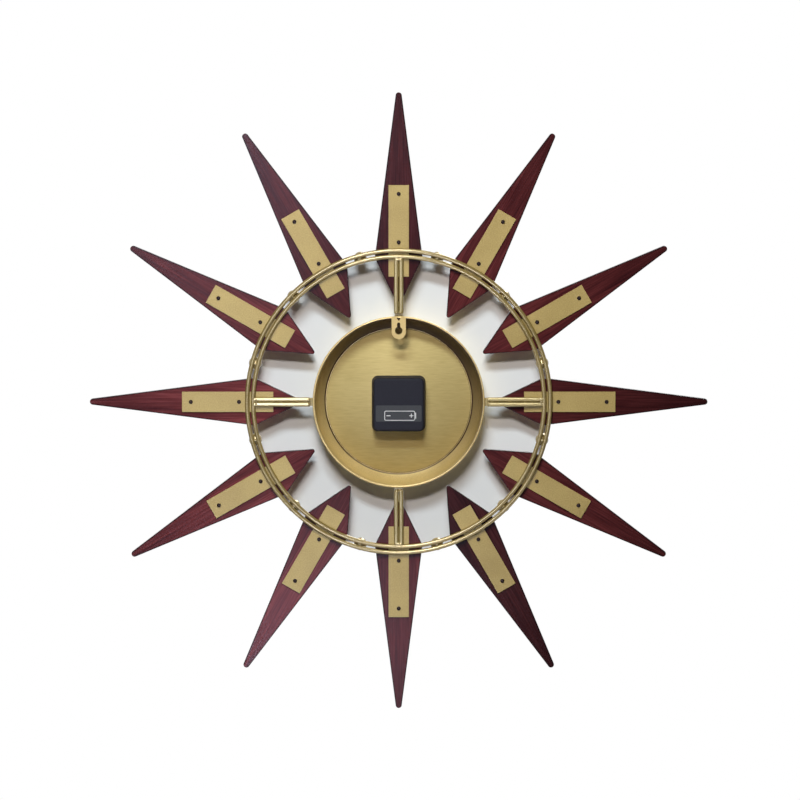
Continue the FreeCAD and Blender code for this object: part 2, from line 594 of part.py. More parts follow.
def make_pan():
    """Spun sheet: rolled rim, bowed wall and a flat front lip, all one revolved section."""
    body = new_body("CasePan")
    sketch = new_sketch(body, "PanSection", "XY_Plane")
    centre = "Dims.panMouthRadius - Dims.panArcRadius"
    outer = "Dims.panArcRadius + Dims.panThickness"
    bead_depth = "Dims.hangerThickness + Dims.beadRadius"
    bead_centre = "Dims.panMouthRadius + Dims.beadRadius"
    seat, front = value("Dims.panSeatDepth"), value("Dims.panSeatDepth + Dims.panThickness")
    arc_depth, inside = value("Dims.panArcDepth"), value("Dims.panArcRadius")
    outside, lip = value(outer), value("Dims.panLipRadius")
    mouth, middle = value("Dims.panMouthRadius"), value(centre)
    seat_angle = math.degrees(math.asin((seat - arc_depth) / inside))
    front_angle = math.degrees(math.asin((front - arc_depth) / outside))
    seat_corner = middle + inside * math.cos(math.radians(seat_angle))
    front_corner = middle + outside * math.cos(math.radians(front_angle))
    bead_x, bead_y, bead_r = value(bead_centre), -value(bead_depth), value("Dims.beadRadius")
    wall_x = mouth + value("Dims.panThickness")
    bead_end = math.degrees(math.acos((wall_x - bead_x) / bead_r))

    seat_line = line(sketch, (lip, -seat), (seat_corner, -seat))
    inner_arc = arc(sketch, centre, "-Dims.panArcDepth", "Dims.panArcRadius", -seat_angle, 0)
    mouth_line = line(sketch, (mouth, -arc_depth), (mouth, bead_y))
    bead = arc(sketch, bead_centre, "-(%s)" % bead_depth, "Dims.beadRadius", -bead_end, 180)
    wall_start = bead_y - bead_r * math.sin(math.radians(bead_end))
    wall_line = line(sketch, (wall_x, wall_start), (wall_x, -arc_depth))
    outer_arc = arc(sketch, centre, "-Dims.panArcDepth", outer, -front_angle, 0)
    front_line = line(sketch, (front_corner, -front), (lip, -front))
    lip_line = line(sketch, (lip, -front), (lip, -seat))
    join(sketch, seat_line, 2, inner_arc, 1)
    join(sketch, inner_arc, 2, mouth_line, 1, "Tangent")
    join(sketch, mouth_line, 2, bead, 2, "Tangent")
    join(sketch, bead, 1, wall_line, 1)
    join(sketch, wall_line, 2, outer_arc, 2, "Tangent")
    join(sketch, outer_arc, 1, front_line, 1)
    join(sketch, front_line, 2, lip_line, 1)
    join(sketch, lip_line, 2, seat_line, 1)
    for level in (seat_line, front_line):
        sketch.addConstraint(Sketcher.Constraint("Horizontal", level))
    sketch.addConstraint(Sketcher.Constraint("Vertical", lip_line))
    pin_point(sketch, seat_line, 1, "Dims.panLipRadius", "-Dims.panSeatDepth")
    pin_point(sketch, inner_arc, 3, centre, "-Dims.panArcDepth")
    pin_point(sketch, outer_arc, 3, centre, "-Dims.panArcDepth")
    bead_height = Sketcher.Constraint("DistanceY", -1, 1, bead, 3, bead_y)
    bind_constraint(sketch, bead_height, "-(%s)" % bead_depth)
    bind_constraint(sketch, Sketcher.Constraint("Radius", bead, bead_r), "Dims.beadRadius")
    for upright in (mouth_line, wall_line):
        sketch.addConstraint(Sketcher.Constraint("Vertical", upright))
    bind_constraint(sketch, Sketcher.Constraint("Radius", inner_arc, inside), "Dims.panArcRadius")
    bind_constraint(sketch, Sketcher.Constraint("Radius", outer_arc, outside), outer)
    lip_height = Sketcher.Constraint("DistanceY", lip_line, 1, lip_line, 2, front - seat)
    bind_constraint(sketch, lip_height, "Dims.panThickness")
    revolve(body, sketch, "V_Axis")
    put(body, "0")
    keep(body, "case_pan")


def make_dial():
    body = new_body("DialPlate")
    sketch = new_sketch(body, "DialOutline")
    circle(sketch, "0", "0", "Dims.dialRadius")
    circle(sketch, "0", "0", "Dims.dialHoleRadius")
    pad(body, sketch, "Dims.dialThickness")
    put(body, DIAL_BACK)
    keep(body, "dial_plate")


def make_markers():
    body = new_body("HourMarkers")
    sketch = new_sketch(body, "MarkerOutline")
    polygon(sketch, [
        ("-Dims.markerInnerHalf", "Dims.markerInner"),
        ("Dims.markerInnerHalf", "Dims.markerInner"),
        ("Dims.markerOuterHalf", "Dims.markerOuter"),
        ("-Dims.markerOuterHalf", "Dims.markerOuter"),
    ])
    marker = pad(body, sketch, "Dims.markerHeight")
    spread_round(body, [marker], "Dims.spokeCount")
    put(body, DIAL_FRONT)
    keep(body, "hour_markers")


def make_hanger():
    """Keyhole plate welded on the back of the rim, with a round lower end."""
    body = new_body("HangerPlate")
    sketch = new_sketch(body, "HangerOutline")
    half, top = value("Dims.hangerWidth / 2"), value("Dims.hangerTop")
    end, notch = value("Dims.hangerEnd"), value("Dims.notchHalfWidth")
    point = value("Dims.notchBottom")
    lower = arc(sketch, "0", "Dims.hangerEnd", "Dims.hangerWidth / 2", 180, 360)
    right = line(sketch, (half, end), (half, top))
    top_right = line(sketch, (half, top), (notch, top))
    notch_right = line(sketch, (notch, top), (0, point))
    notch_left = line(sketch, (0, point), (-notch, top))
    top_left = line(sketch, (-notch, top), (-half, top))
    left = line(sketch, (-half, top), (-half, end))
    join(sketch, lower, 2, right, 1, "Tangent")
    join(sketch, right, 2, top_right, 1)
    join(sketch, top_right, 2, notch_right, 1)
    join(sketch, notch_right, 2, notch_left, 1)
    join(sketch, notch_left, 2, top_left, 1)
    join(sketch, top_left, 2, left, 1)
    join(sketch, left, 2, lower, 1, "Tangent")
    for level in (top_right, top_left):
        sketch.addConstraint(Sketcher.Constraint("Horizontal", level))
    for upright in (right, left):
        sketch.addConstraint(Sketcher.Constraint("Vertical", upright))
    pin_point(sketch, lower, 3, "0", "Dims.hangerEnd")
    bind_constraint(sketch, Sketcher.Constraint("Radius", lower, half), "Dims.hangerWidth / 2")
    pin_point(sketch, notch_right, 1, "Dims.notchHalfWidth", "Dims.hangerTop")
    pin_point(sketch, notch_left, 2, "-Dims.notchHalfWidth", "Dims.hangerTop")
    pin_point(sketch, notch_left, 1, "0", "Dims.notchBottom")

    height = value("Dims.keyholeHeight")
    hole, slot = value("Dims.keyholeRadius"), value("Dims.keySlotWidth / 2")
    slot_top = "Dims.keySlotTop - Dims.keySlotWidth / 2"
    meet = math.degrees(math.acos(slot / hole))
    join_height = height + hole * math.sin(math.radians(meet))
    round_hole = arc(sketch, "0", "Dims.keyholeHeight", "Dims.keyholeRadius", 180 - meet, 360 + meet)
    slot_right = line(sketch, (slot, join_height), (slot, value(slot_top)))
    slot_end = arc(sketch, "0", slot_top, "Dims.keySlotWidth / 2", 0, 180)
    slot_left = line(sketch, (-slot, value(slot_top)), (-slot, join_height))
    join(sketch, round_hole, 2, slot_right, 1)
    join(sketch, slot_right, 2, slot_end, 1, "Tangent")
    join(sketch, slot_end, 2, slot_left, 1, "Tangent")
    join(sketch, slot_left, 2, round_hole, 1)
    sketch.addConstraint(Sketcher.Constraint("Vertical", slot_right))
    sketch.addConstraint(Sketcher.Constraint("Vertical", slot_left))
    pin_point(sketch, round_hole, 3, "0", "Dims.keyholeHeight")
    pin_point(sketch, slot_end, 3, "0", slot_top)
    bind_constraint(sketch, Sketcher.Constraint("Radius", round_hole, hole), "Dims.keyholeRadius")
    bind_constraint(sketch, Sketcher.Constraint("Radius", slot_end, slot), "Dims.keySlotWidth / 2")
    pad(body, sketch, "Dims.hangerThickness")
    put(body, "0")
    keep(body, "hanger_plate")


# Movement, its cover and the hands

def make_movement():
    """Closed quartz movement: battery bay in its back and a threaded bushing in front."""
    body = new_body("MovementCase")
    outline = new_sketch(body, "CaseOutline")
    half = "Dims.caseSize / 2"
    rectangle(outline, "-" + half, "-" + half, half, half)
    block = pad(body, outline, "Dims.caseThickness")
    corners = edge_names(block.Shape, is_upright)
    round_edges(body, block, corners, "Dims.caseRounding", "CaseRounding")
    bushing = new_sketch(body, "Bushing", "XZ_Plane", "Dims.caseThickness")
    circle(bushing, "0", "0", "Dims.bushingRadius")
    pad(body, bushing, "Dims.bushingLength")
    bore = new_sketch(body, "Bore", "XZ_Plane", "Dims.arborBoreDepth - %s" % CASE_BACK)
    circle(bore, "0", "0", "Dims.hourTubeRadius + Dims.runningGap")
    pocket(body, bore, "Dims.caseThickness + Dims.bushingLength")
    bay = new_sketch(body, "BatteryBay")
    rectangle(
        bay,
        "-Dims.bayLength / 2", "-Dims.bayDrop - Dims.bayWidth / 2",
        "Dims.bayLength / 2", "-Dims.bayDrop + Dims.bayWidth / 2",
    )
    pocket(body, bay, "Dims.bayDepth")
    stem = new_sketch(body, "StemHole")
    circle(stem, "Dims.knobSide", "Dims.knobHeight", "Dims.knobStem + Dims.runningGap")
    pocket(body, stem, "Dims.knobStemLength + Dims.knobStemGap")
    put(body, CASE_BACK)
    keep(body, "movement_case")


def make_battery():
    """AA cell, its positive end towards -X."""
    body = new_body("Battery")
    sketch = new_sketch(body, "CellProfile", "XY_Plane")
    half = "Dims.cellLength / 2"
    polygon(sketch, [
        (half, "0"),
        (half, "Dims.cellRadius - Dims.cellEdge"),
        (half + " - Dims.cellEdge", "Dims.cellRadius"),
        ("-" + half + " + Dims.cellEdge", "Dims.cellRadius"),
        ("-" + half, "Dims.cellRadius - Dims.cellEdge"),
        ("-" + half, "Dims.nubRadius"),
        ("-" + half + " - Dims.nubLength", "Dims.nubRadius"),
        ("-" + half + " - Dims.nubLength", "0"),
    ])
    revolve(body, sketch, "H_Axis")
    body.setExpression("Placement.Base.x", "Dims.nubLength / 2")
    axis_depth = "(%s + Dims.bayWidth / 2 - Dims.cellShift)" % CASE_BACK
    body.setExpression("Placement.Base.y", "Dims.wallPlane - %s" % axis_depth)
    body.setExpression("Placement.Base.z", "-Dims.bayDrop")
    keep(body, "battery")

    contacts = new_body("BatteryContacts")
    plan = new_sketch(contacts, "ContactPlan")
    low = "-Dims.bayDrop - Dims.contactWidth / 2"
    high = "-Dims.bayDrop + Dims.contactWidth / 2"
    end = "Dims.bayLength / 2"
    rectangle(plan, "-" + end, low, "-" + end + " + Dims.contactThickness", high)
    rectangle(plan, end + " - Dims.contactThickness", low, end, high)
    pad(contacts, plan, "Dims.bayDepth - 2 * Dims.contactInset")
    put(contacts, "(%s + Dims.contactInset)" % CASE_BACK)
    keep(contacts, "battery_contacts")


def make_knob():
    body = new_body("SetKnob")
    head = new_sketch(body, "KnobHead")
    circle(head, "0", "0", "Dims.knobRadius")
    pad(body, head, "Dims.knobThickness", backwards=True)
    flute = new_sketch(body, "KnobFlute")
    circle(flute, "0", "Dims.knobRadius + Dims.fluteOut", "Dims.fluteRadius")
    cut = pocket(body, flute, "Dims.knobThickness", reversed_way=False)
    spread_round(body, [cut], "Dims.fluteCount")
    stem = new_sketch(body, "KnobStem")
    circle(stem, "0", "0", "Dims.knobStem")
    pad(body, stem, "Dims.knobStemLength")
    body.setExpression("Placement.Base.x", "Dims.knobSide")
    body.setExpression("Placement.Base.y", "Dims.wallPlane - %s + Dims.knobGap" % CASE_BACK)
    body.setExpression("Placement.Base.z", "Dims.knobHeight")
    keep(body, "set_knob")


def make_cover():
    """Moulded pull-off cover: drafted shell with ribs that grip the movement."""
    body = new_body("MovementCover")
    outline = new_sketch(body, "CoverOutline")
    half_width, half_height = "Dims.coverWidth / 2", "Dims.coverHeight / 2"
    rounded_rectangle(outline, half_width, half_height, "Dims.coverRounding")
    depth = "%s - Dims.coverGap - Dims.coverBack" % DIAL_BACK
    block = pad(body, outline, depth, backwards=True, draft="-Dims.coverDraft")
    face = edge_names(block.Shape, lambda edge: lies_at(edge, -value(depth)))
    round_edges(body, block, face, "Dims.coverEdge", "CoverEdge")
    inside = new_sketch(body, "CoverHollow")
    rounded_rectangle(
        inside,
        half_width + " - Dims.coverWall", half_height + " - Dims.coverWall",
        "Dims.coverRounding - Dims.coverWall",
    )
    bottom = "%s - Dims.coverWall" % depth
    hollow = pocket(body, inside, bottom, reversed_way=False, draft="-Dims.coverDraft")
    inner_face = edge_names(hollow.Shape, lambda edge: lies_at(edge, -value(bottom)))
    round_edges(body, hollow, inner_face, "Dims.coverEdge - Dims.coverWall", "HollowEdge")
    ribs = new_sketch(body, "CoverRibs")
    touch = "(Dims.caseSize / 2 + Dims.ribGap)"
    side_root, end_root = "(%s - Dims.ribSink)" % half_width, "(%s - Dims.ribSink)" % half_height
    for middle in ("Dims.ribSpread", "-Dims.ribSpread"):
        low, high = middle + " - Dims.ribThickness / 2", middle + " + Dims.ribThickness / 2"
        raised_low, raised_high = low + " + Dims.coverDrop", high + " + Dims.coverDrop"
        rectangle(ribs, "-" + side_root, raised_low, "-" + touch, raised_high)
        rectangle(ribs, touch, raised_low, side_root, raised_high)
        rectangle(ribs, low, "-" + end_root, high, "-" + touch + " + Dims.coverDrop")
        rectangle(ribs, low, touch + " + Dims.coverDrop", high, end_root)
    pad(body, ribs, "Dims.ribLength", backwards=True)
    put(body, "(%s - Dims.coverGap)" % DIAL_BACK)
    body.setExpression("Placement.Base.z", "-Dims.coverDrop")
    keep(body, "movement_cover")


def make_nut():
    hexagon = doc.addObject("Part::Prism", "NutHexagon")
    hexagon.Polygon = 6
    hexagon.setExpression("Circumradius", "Dims.nutRadius")
    hexagon.setExpression("Height", "Dims.nutHeight")
    thread = doc.addObject("Part::Cylinder", "NutThread")
    thread.setExpression("Radius", "Dims.bushingRadius + Dims.threadGap")
    thread.setExpression("Height", "Dims.nutHeight")
    nut = doc.addObject("Part::Cut", "MountingNut")
    nut.Base = hexagon
    nut.Tool = thread
    doc.recompute()
    rotation = FreeCAD.Rotation(FreeCAD.Vector(1, 0, 0), 90)
    nut.Placement = FreeCAD.Placement(FreeCAD.Vector(0, 0, 0), rotation)
    nut.setExpression("Placement.Base.y", "Dims.wallPlane - %s - Dims.washerThickness" % DIAL_FRONT)
    keep(nut, "mounting_nut")


def blade_outline(prefix):
    """Corners of a slim leaf blade with a short tail, from the values named for one hand."""
    tip, tip_half = prefix + "Length", prefix + "TipHalf"
    belly, belly_half = prefix + "Belly", prefix + "BellyHalf"
    root_half, tail, tail_half = prefix + "RootHalf", prefix + "Tail", prefix + "TailHalf"
    return [
        ("-" + tail_half, "-" + tail),
        (tail_half, "-" + tail),
        (root_half, "0"),
        (belly_half, belly),
        (tip_half, tip),
        ("-" + tip_half, tip),
        ("-" + belly_half, belly),
        ("-" + root_half, "0"),
    ]


def make_hand(name, bore, depth, turn, has_dome=False):
    """A flat blade on a round hub, with a collet behind it that grips its tube."""
    prefix = "Dims." + name
    body = new_body(name + "Hand")
    blade = new_sketch(body, name + "Blade")
    polygon(blade, blade_outline(prefix))
    pad(body, blade, "Dims.handThickness")
    disc = new_sketch(body, name + "HubDisc")
    circle(disc, "0", "0", prefix + "Hub")
    pad(body, disc, "Dims.handThickness")
    back = new_sketch(body, name + "ColletDisc")
    circle(back, "0", "0", prefix + "Collet")
    pad(body, back, "Dims.colletHeight", backwards=True)
    bore_depth = "Dims.colletHeight + Dims.handThickness + Dims.capBore"
    if has_dome:
        crown = new_sketch(body, name + "Dome", "XZ_Plane", "Dims.handThickness")
        circle(crown, "0", "0", prefix + "Hub")
        dome = pad(body, crown, "Dims.capHeight")
        front = value("Dims.handThickness + Dims.capHeight")
        rim = edge_names(dome.Shape, lambda edge: lies_at(edge, front))
        round_edges(body, dome, rim, "Dims.capRounding", name + "Crown")
    hole = new_sketch(body, name + "Bore", "XZ_Plane", "-Dims.colletHeight")
    circle(hole, "0", "0", bore)
    pocket(body, hole, bore_depth)
    put(body, depth, turn)
    keep(body, name + "_hand")


def make_hands():
    make_hand("hour", "Dims.hourTubeRadius", "Dims.hourHandDepth", REST_HOUR_ANGLE)
    make_hand("minute", "Dims.minuteTubeRadius", "Dims.minuteHandDepth", REST_MINUTE_ANGLE)
    make_hand("second", "Dims.secondArborRadius", "Dims.secondHandDepth", REST_SECOND_ANGLE,
              has_dome=True)


def make_arbors():
    tube("HourTube", "hour_tube", "Dims.hourTubeRadius",
         "Dims.minuteTubeRadius + Dims.runningGap",
         "Dims.hourHandDepth + Dims.handThickness - Dims.hourTubeBack",
         "Dims.hourTubeBack", REST_HOUR_ANGLE)
    tube("MinuteCannon", "minute_cannon", "Dims.minuteTubeRadius",
         "Dims.secondArborRadius + Dims.runningGap",
         "Dims.minuteHandDepth + Dims.handThickness - Dims.minuteTubeBack",
         "Dims.minuteTubeBack", REST_MINUTE_ANGLE)
    arbor = new_body("SecondArbor")
    section = new_sketch(arbor, "ArborSection")
    circle(section, "0", "0", "Dims.secondArborRadius")
    hand_front = "Dims.secondHandDepth + Dims.handThickness"
    pad(arbor, section, hand_front + " + Dims.arborInCap - Dims.secondArborBack")
    put(arbor, "Dims.secondArborBack", REST_SECOND_ANGLE)
    keep(arbor, "second_arbor")


spoke_numbers = range(1, int(value("Dims.spokeCount")) + 1)
for number in spoke_numbers:
    make_spoke(number)
for number in spoke_numbers:
    make_strap(number)
make_screws()
make_rings()
make_balls()
for index in range(len(QUARTER_NAMES)):
    make_strut(index)
make_pan()
make_dial()
make_markers()
make_hanger()
make_movement()
tube("RubberWasher", "rubber_washer", "Dims.gasketRadius", "Dims.bushingRadius + Dims.washerGap",
     "Dims.gasketThickness", CASE_FRONT)
tube("DialWasher", "dial_washer", "Dims.washerRadius", "Dims.bushingRadius + Dims.washerGap",
     "Dims.washerThickness", DIAL_FRONT)
make_nut()
make_battery()
make_knob()
make_cover()
make_arbors()
make_hands()

doc.recompute()
for item in doc.Objects:
    if "Invalid" in item.State or "Error" in item.State:
        raise RuntimeError("%s is not computed: %s" % (item.Label, item.State))
for node in nodes:
    if node.Shape.isNull() or not node.Shape.isValid():
        raise RuntimeError("%s has no valid shape" % node.Label)

os.makedirs("parts", exist_ok=True)
for node in nodes:
    node.Shape.exportStep("parts/%s.step" % node.Label)
    box = node.Shape.BoundBox
    print("%-18s %2d solids %10.1f mm3  x %7.2f %7.2f  y %7.2f %7.2f  z %7.2f %7.2f" % (
        node.Label, len(node.Shape.Solids), node.Shape.Volume,
        box.XMin, box.XMax, box.YMin, box.YMax, box.ZMin, box.ZMax))
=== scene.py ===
import math

import bmesh
import bpy
from mathutils import Matrix, Vector


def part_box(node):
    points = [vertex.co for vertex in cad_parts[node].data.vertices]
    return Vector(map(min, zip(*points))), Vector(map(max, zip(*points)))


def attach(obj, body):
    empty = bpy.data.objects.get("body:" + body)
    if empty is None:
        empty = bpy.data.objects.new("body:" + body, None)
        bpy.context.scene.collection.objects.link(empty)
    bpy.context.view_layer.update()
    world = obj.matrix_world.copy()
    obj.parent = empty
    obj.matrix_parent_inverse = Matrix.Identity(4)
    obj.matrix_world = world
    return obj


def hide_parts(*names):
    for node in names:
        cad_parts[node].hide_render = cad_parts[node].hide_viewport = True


# Sunburst wall clock, dressed round its CAD parts. Metres, +Z up, the dial faces -Y.
# The main camera looks at the back, where the welded frame and the movement's cover show.

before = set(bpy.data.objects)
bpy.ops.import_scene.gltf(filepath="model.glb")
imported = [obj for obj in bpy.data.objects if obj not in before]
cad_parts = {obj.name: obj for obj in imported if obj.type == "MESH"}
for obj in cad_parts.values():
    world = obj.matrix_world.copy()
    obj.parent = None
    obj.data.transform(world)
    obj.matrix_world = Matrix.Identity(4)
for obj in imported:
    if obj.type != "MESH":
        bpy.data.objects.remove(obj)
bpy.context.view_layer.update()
mm = 0.001


def boxOf(node):
    low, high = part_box(node)
    return Vector(low), Vector(high)


clock = {
    "spokes": 12,
    "ringOuter": 186.9 * mm,       # middle of the outer rod, from the axis
    "ringInner": 179.4 * mm,       # middle of the inner rod
}
spokeStep = 2 * math.pi / clock["spokes"]
numbers = range(1, clock["spokes"] + 1)      # from the top, clockwise on the dial side
ringLow, ringHigh = boxOf("ring_outer")
rodDepth = (ringLow.y + ringHigh.y) / 2      # where the middle of the rods lies along Y


# Camera

view = {
    "elevation": 4.5,              # degrees above the axis of the hands
    "distance": 6.0,
    "width": 0.9862,               # what the camera takes in at the ring
    "aim": (-1.6 * mm, 2.5 * mm),  # middle of its view, from the middle of the ring
    "sensor": 36,                  # in millimetres, as Blender has it
    "reach": 50,
}


def addCamera():
    lean = math.radians(view["elevation"])
    aim = Vector((view["aim"][0], rodDepth, view["aim"][1]))
    back = Vector((0, math.cos(lean), math.sin(lean)))
    data = bpy.data.cameras.new("camera")
    data.sensor_width = view["sensor"]
    data.lens = view["sensor"] * view["distance"] / view["width"]
    data.clip_end = view["reach"]
    camera = bpy.data.objects.new("camera", data)
    camera.location = aim + back * view["distance"]
    camera.rotation_euler = (-back).to_track_quat("-Z", "Y").to_euler()
    bpy.context.collection.objects.link(camera)
    bpy.context.scene.camera = camera
    bpy.context.scene.view_settings.view_transform = "Standard"


addCamera()
print("camera is in place")


# Colours and nodes

def hexColour(text):                   # sRGB as written, linear for Blender
    channels = [int(text[place:place + 2], 16) / 255 for place in (1, 3, 5)]
    linear = [c / 12.92 if c <= 0.04045 else ((c + 0.055) / 1.055) ** 2.4 for c in channels]
    return (*linear, 1.0)


def addNode(tree, kind, settings=None, links=None):
    node = tree.nodes.new(kind)
    for name, setting in (settings or {}).items():
        if isinstance(name, int) or name in node.inputs:
            node.inputs[name].default_value = setting
        else:
            setattr(node, name, setting)
    for name, source in (links or {}).items():
        tree.links.new(source, node.inputs[name])
    return node


def newMaterial(name, **settings):
    material = bpy.data.materials.new(name)
    material.use_nodes = True
    tree = material.node_tree
    shader = tree.nodes["Principled BSDF"]
    for socket, setting in settings.items():
        shader.inputs[socket.replace("_", " ")].default_value = setting
    return material, tree, shader


def setRamp(node, stops):
    ramp = node.color_ramp
    stops = list(stops)
    while len(ramp.elements) < len(stops):
        ramp.elements.new(0.5)         # anywhere, its place comes next
    for element, (place, colour) in zip(ramp.elements, stops):
        element.position = place
        element.color = hexColour(colour)


# Stained hardwood, spray lacquered to a satin. The eye gets long dark streaks along each board,
# broad lighter bands, and a darker band along the rounded edges.

wood = {
    "light": "#6E3233",
    "middle": "#522122",
    "dark": "#371317",
    "edge": "#14070A",
    "streakWidth": 1.6 * mm,       # pores are finer, drawn this coarse so that they show
    "streakLength": 45 * mm,
    "bandWidth": 11 * mm,
    "bandLength": 160 * mm,
    "shift": (0.31, 0.17, 0.53),   # from board to board, so that no two are alike
    "innerCorner": 116.9 * mm,     # outline of a board, from the axis
    "widest": 177.8 * mm,
    "halfWidth": 29.4 * mm,
    "tip": 406 * mm,               # where its two long edges would meet
    "darkEdgeBand": (0.2 * mm, 2.2 * mm),     # in from the outline, from its fullest to none
    "edgeShare": 0.85,             # how much of the edge colour lies there
    "fineShare": 0.55,             # streaks against bands
    "shades": (0.32, 0.5, 0.68),   # where dark, middle and light lie in the grain
    "tipStart": 290 * mm,          # each board grows darker from here towards the tip
    "tipShare": 0.62,
    "roughness": (0.16, 0.3),
    "specular": 0.09,
    "poreDepth": 0.06 * mm,
    "poreStrength": 0.35,
    "toneStart": 150 * mm,         # each board has one brightness near the middle and one further out: partly its own tone, partly painted light and sheen, lighter on the boards towards +X and at the bottom, darker towards -X
    "innerToneAndLight": (0.6, 0.8, 1.6, 1.9, 1.55, 1.1, 1.1, 0.5, 1.05, 0.95, 1.3, 1.3),
    "toneAndLight": (0.72, 0.94, 1.16, 1.55, 2.0, 2.7, 1.45, 0.55, 1.0, 0.57, 0.93, 0.88),
}


def stainedWood(number):
    material, tree, shader = newMaterial(
        "stainedHardwood%02d" % number, Specular_IOR_Level=wood["specular"])
    coords = addNode(tree, "ShaderNodeTexCoord")
    along = addNode(tree, "ShaderNodeMapping", {"Rotation": (0, -spokeStep * (number - 1), 0)},
                    {"Vector": coords.outputs["Object"]})
    place = addNode(tree, "ShaderNodeSeparateXYZ", None, {0: along.outputs[0]})
    across = addNode(tree, "ShaderNodeMath", {"operation": "ABSOLUTE"}, {0: place.outputs[0]})
    inner = addNode(tree, "ShaderNodeMapRange", {
        "clamp": False, "From Min": wood["innerCorner"], "From Max": wood["widest"],
        "To Min": 0.0, "To Max": wood["halfWidth"]}, {"Value": place.outputs[2]})
    outer = addNode(tree, "ShaderNodeMapRange", {
        "clamp": False, "From Min": wood["tip"], "From Max": wood["widest"],
        "To Min": 0.0, "To Max": wood["halfWidth"]}, {"Value": place.outputs[2]})
    half = addNode(tree, "ShaderNodeMath", {"operation": "MINIMUM"},
                   {0: inner.outputs[0], 1: outer.outputs[0]})
    margin = addNode(tree, "ShaderNodeMath", {"operation": "SUBTRACT"},
                     {0: half.outputs[0], 1: across.outputs[0]})
    edge = addNode(tree, "ShaderNodeMapRange", {
        "interpolation_type": "SMOOTHSTEP",
        "From Min": wood["darkEdgeBand"][0], "From Max": wood["darkEdgeBand"][1],
        "To Min": wood["edgeShare"], "To Max": 0.0}, {"Value": margin.outputs[0]})

    shift = [step * number for step in wood["shift"]]
    bands = addNode(tree, "ShaderNodeMapping", {
        "Location": shift,
        "Scale": (1 / wood["bandWidth"], 1 / wood["bandWidth"], 1 / wood["bandLength"])},
        {"Vector": along.outputs[0]})
    streaks = addNode(tree, "ShaderNodeMapping", {
        "Location": shift,
        "Scale": (1 / wood["streakWidth"], 1 / wood["streakWidth"], 1 / wood["streakLength"])},
        {"Vector": along.outputs[0]})
    broad = addNode(
        tree, "ShaderNodeTexNoise", {"Scale": 1.0, "Detail": 3.0, "Distortion": 0.6},
        {"Vector": bands.outputs[0]})
    fine = addNode(tree, "ShaderNodeTexNoise", {"Scale": 1.0, "Detail": 4.0, "Roughness": 0.6},
                   {"Vector": streaks.outputs[0]})
    blend = addNode(tree, "ShaderNodeMix", {"data_type": "FLOAT", 0: wood["fineShare"]},
                    {2: broad.outputs[0], 3: fine.outputs[0]})
    grain = addNode(tree, "ShaderNodeValToRGB", None, {0: blend.outputs[0]})
    setRamp(grain, zip(wood["shades"], (wood["dark"], wood["middle"], wood["light"])))
    # each board's brightness: its own tone together with painted light and sheen
    level = addNode(tree, "ShaderNodeMapRange", {
        "From Min": wood["toneStart"], "From Max": wood["tipStart"],
        "To Min": wood["innerToneAndLight"][number - 1], "To Max": wood["toneAndLight"][number - 1]},
        {"Value": place.outputs[2]})
    depth = addNode(tree, "ShaderNodeMapRange", {
        "From Min": wood["tipStart"], "From Max": wood["tip"],
        "To Min": 1.0, "To Max": wood["tipShare"]}, {"Value": place.outputs[2]})
    value = addNode(tree, "ShaderNodeMath", {"operation": "MULTIPLY"},
                    {0: level.outputs[0], 1: depth.outputs[0]})
    tone = addNode(tree, "ShaderNodeHueSaturation", None,
                   {"Value": value.outputs[0], "Color": grain.outputs[0]})
    stained = addNode(tree, "ShaderNodeMix", {"data_type": "RGBA", 7: hexColour(wood["edge"])},
                      {0: edge.outputs[0], 6: tone.outputs[0]})
    gloss = addNode(tree, "ShaderNodeMapRange", {
        "To Min": wood["roughness"][0], "To Max": wood["roughness"][1]},
        {"Value": fine.outputs[0]})
    relief = addNode(tree, "ShaderNodeBump", {
        "Strength": wood["poreStrength"], "Distance": wood["poreDepth"]},
        {"Height": fine.outputs[0]})
    tree.links.new(stained.outputs[2], shader.inputs["Base Color"])
    tree.links.new(gloss.outputs[0], shader.inputs["Roughness"])
    tree.links.new(relief.outputs[0], shader.inputs["Normal"])
    return material
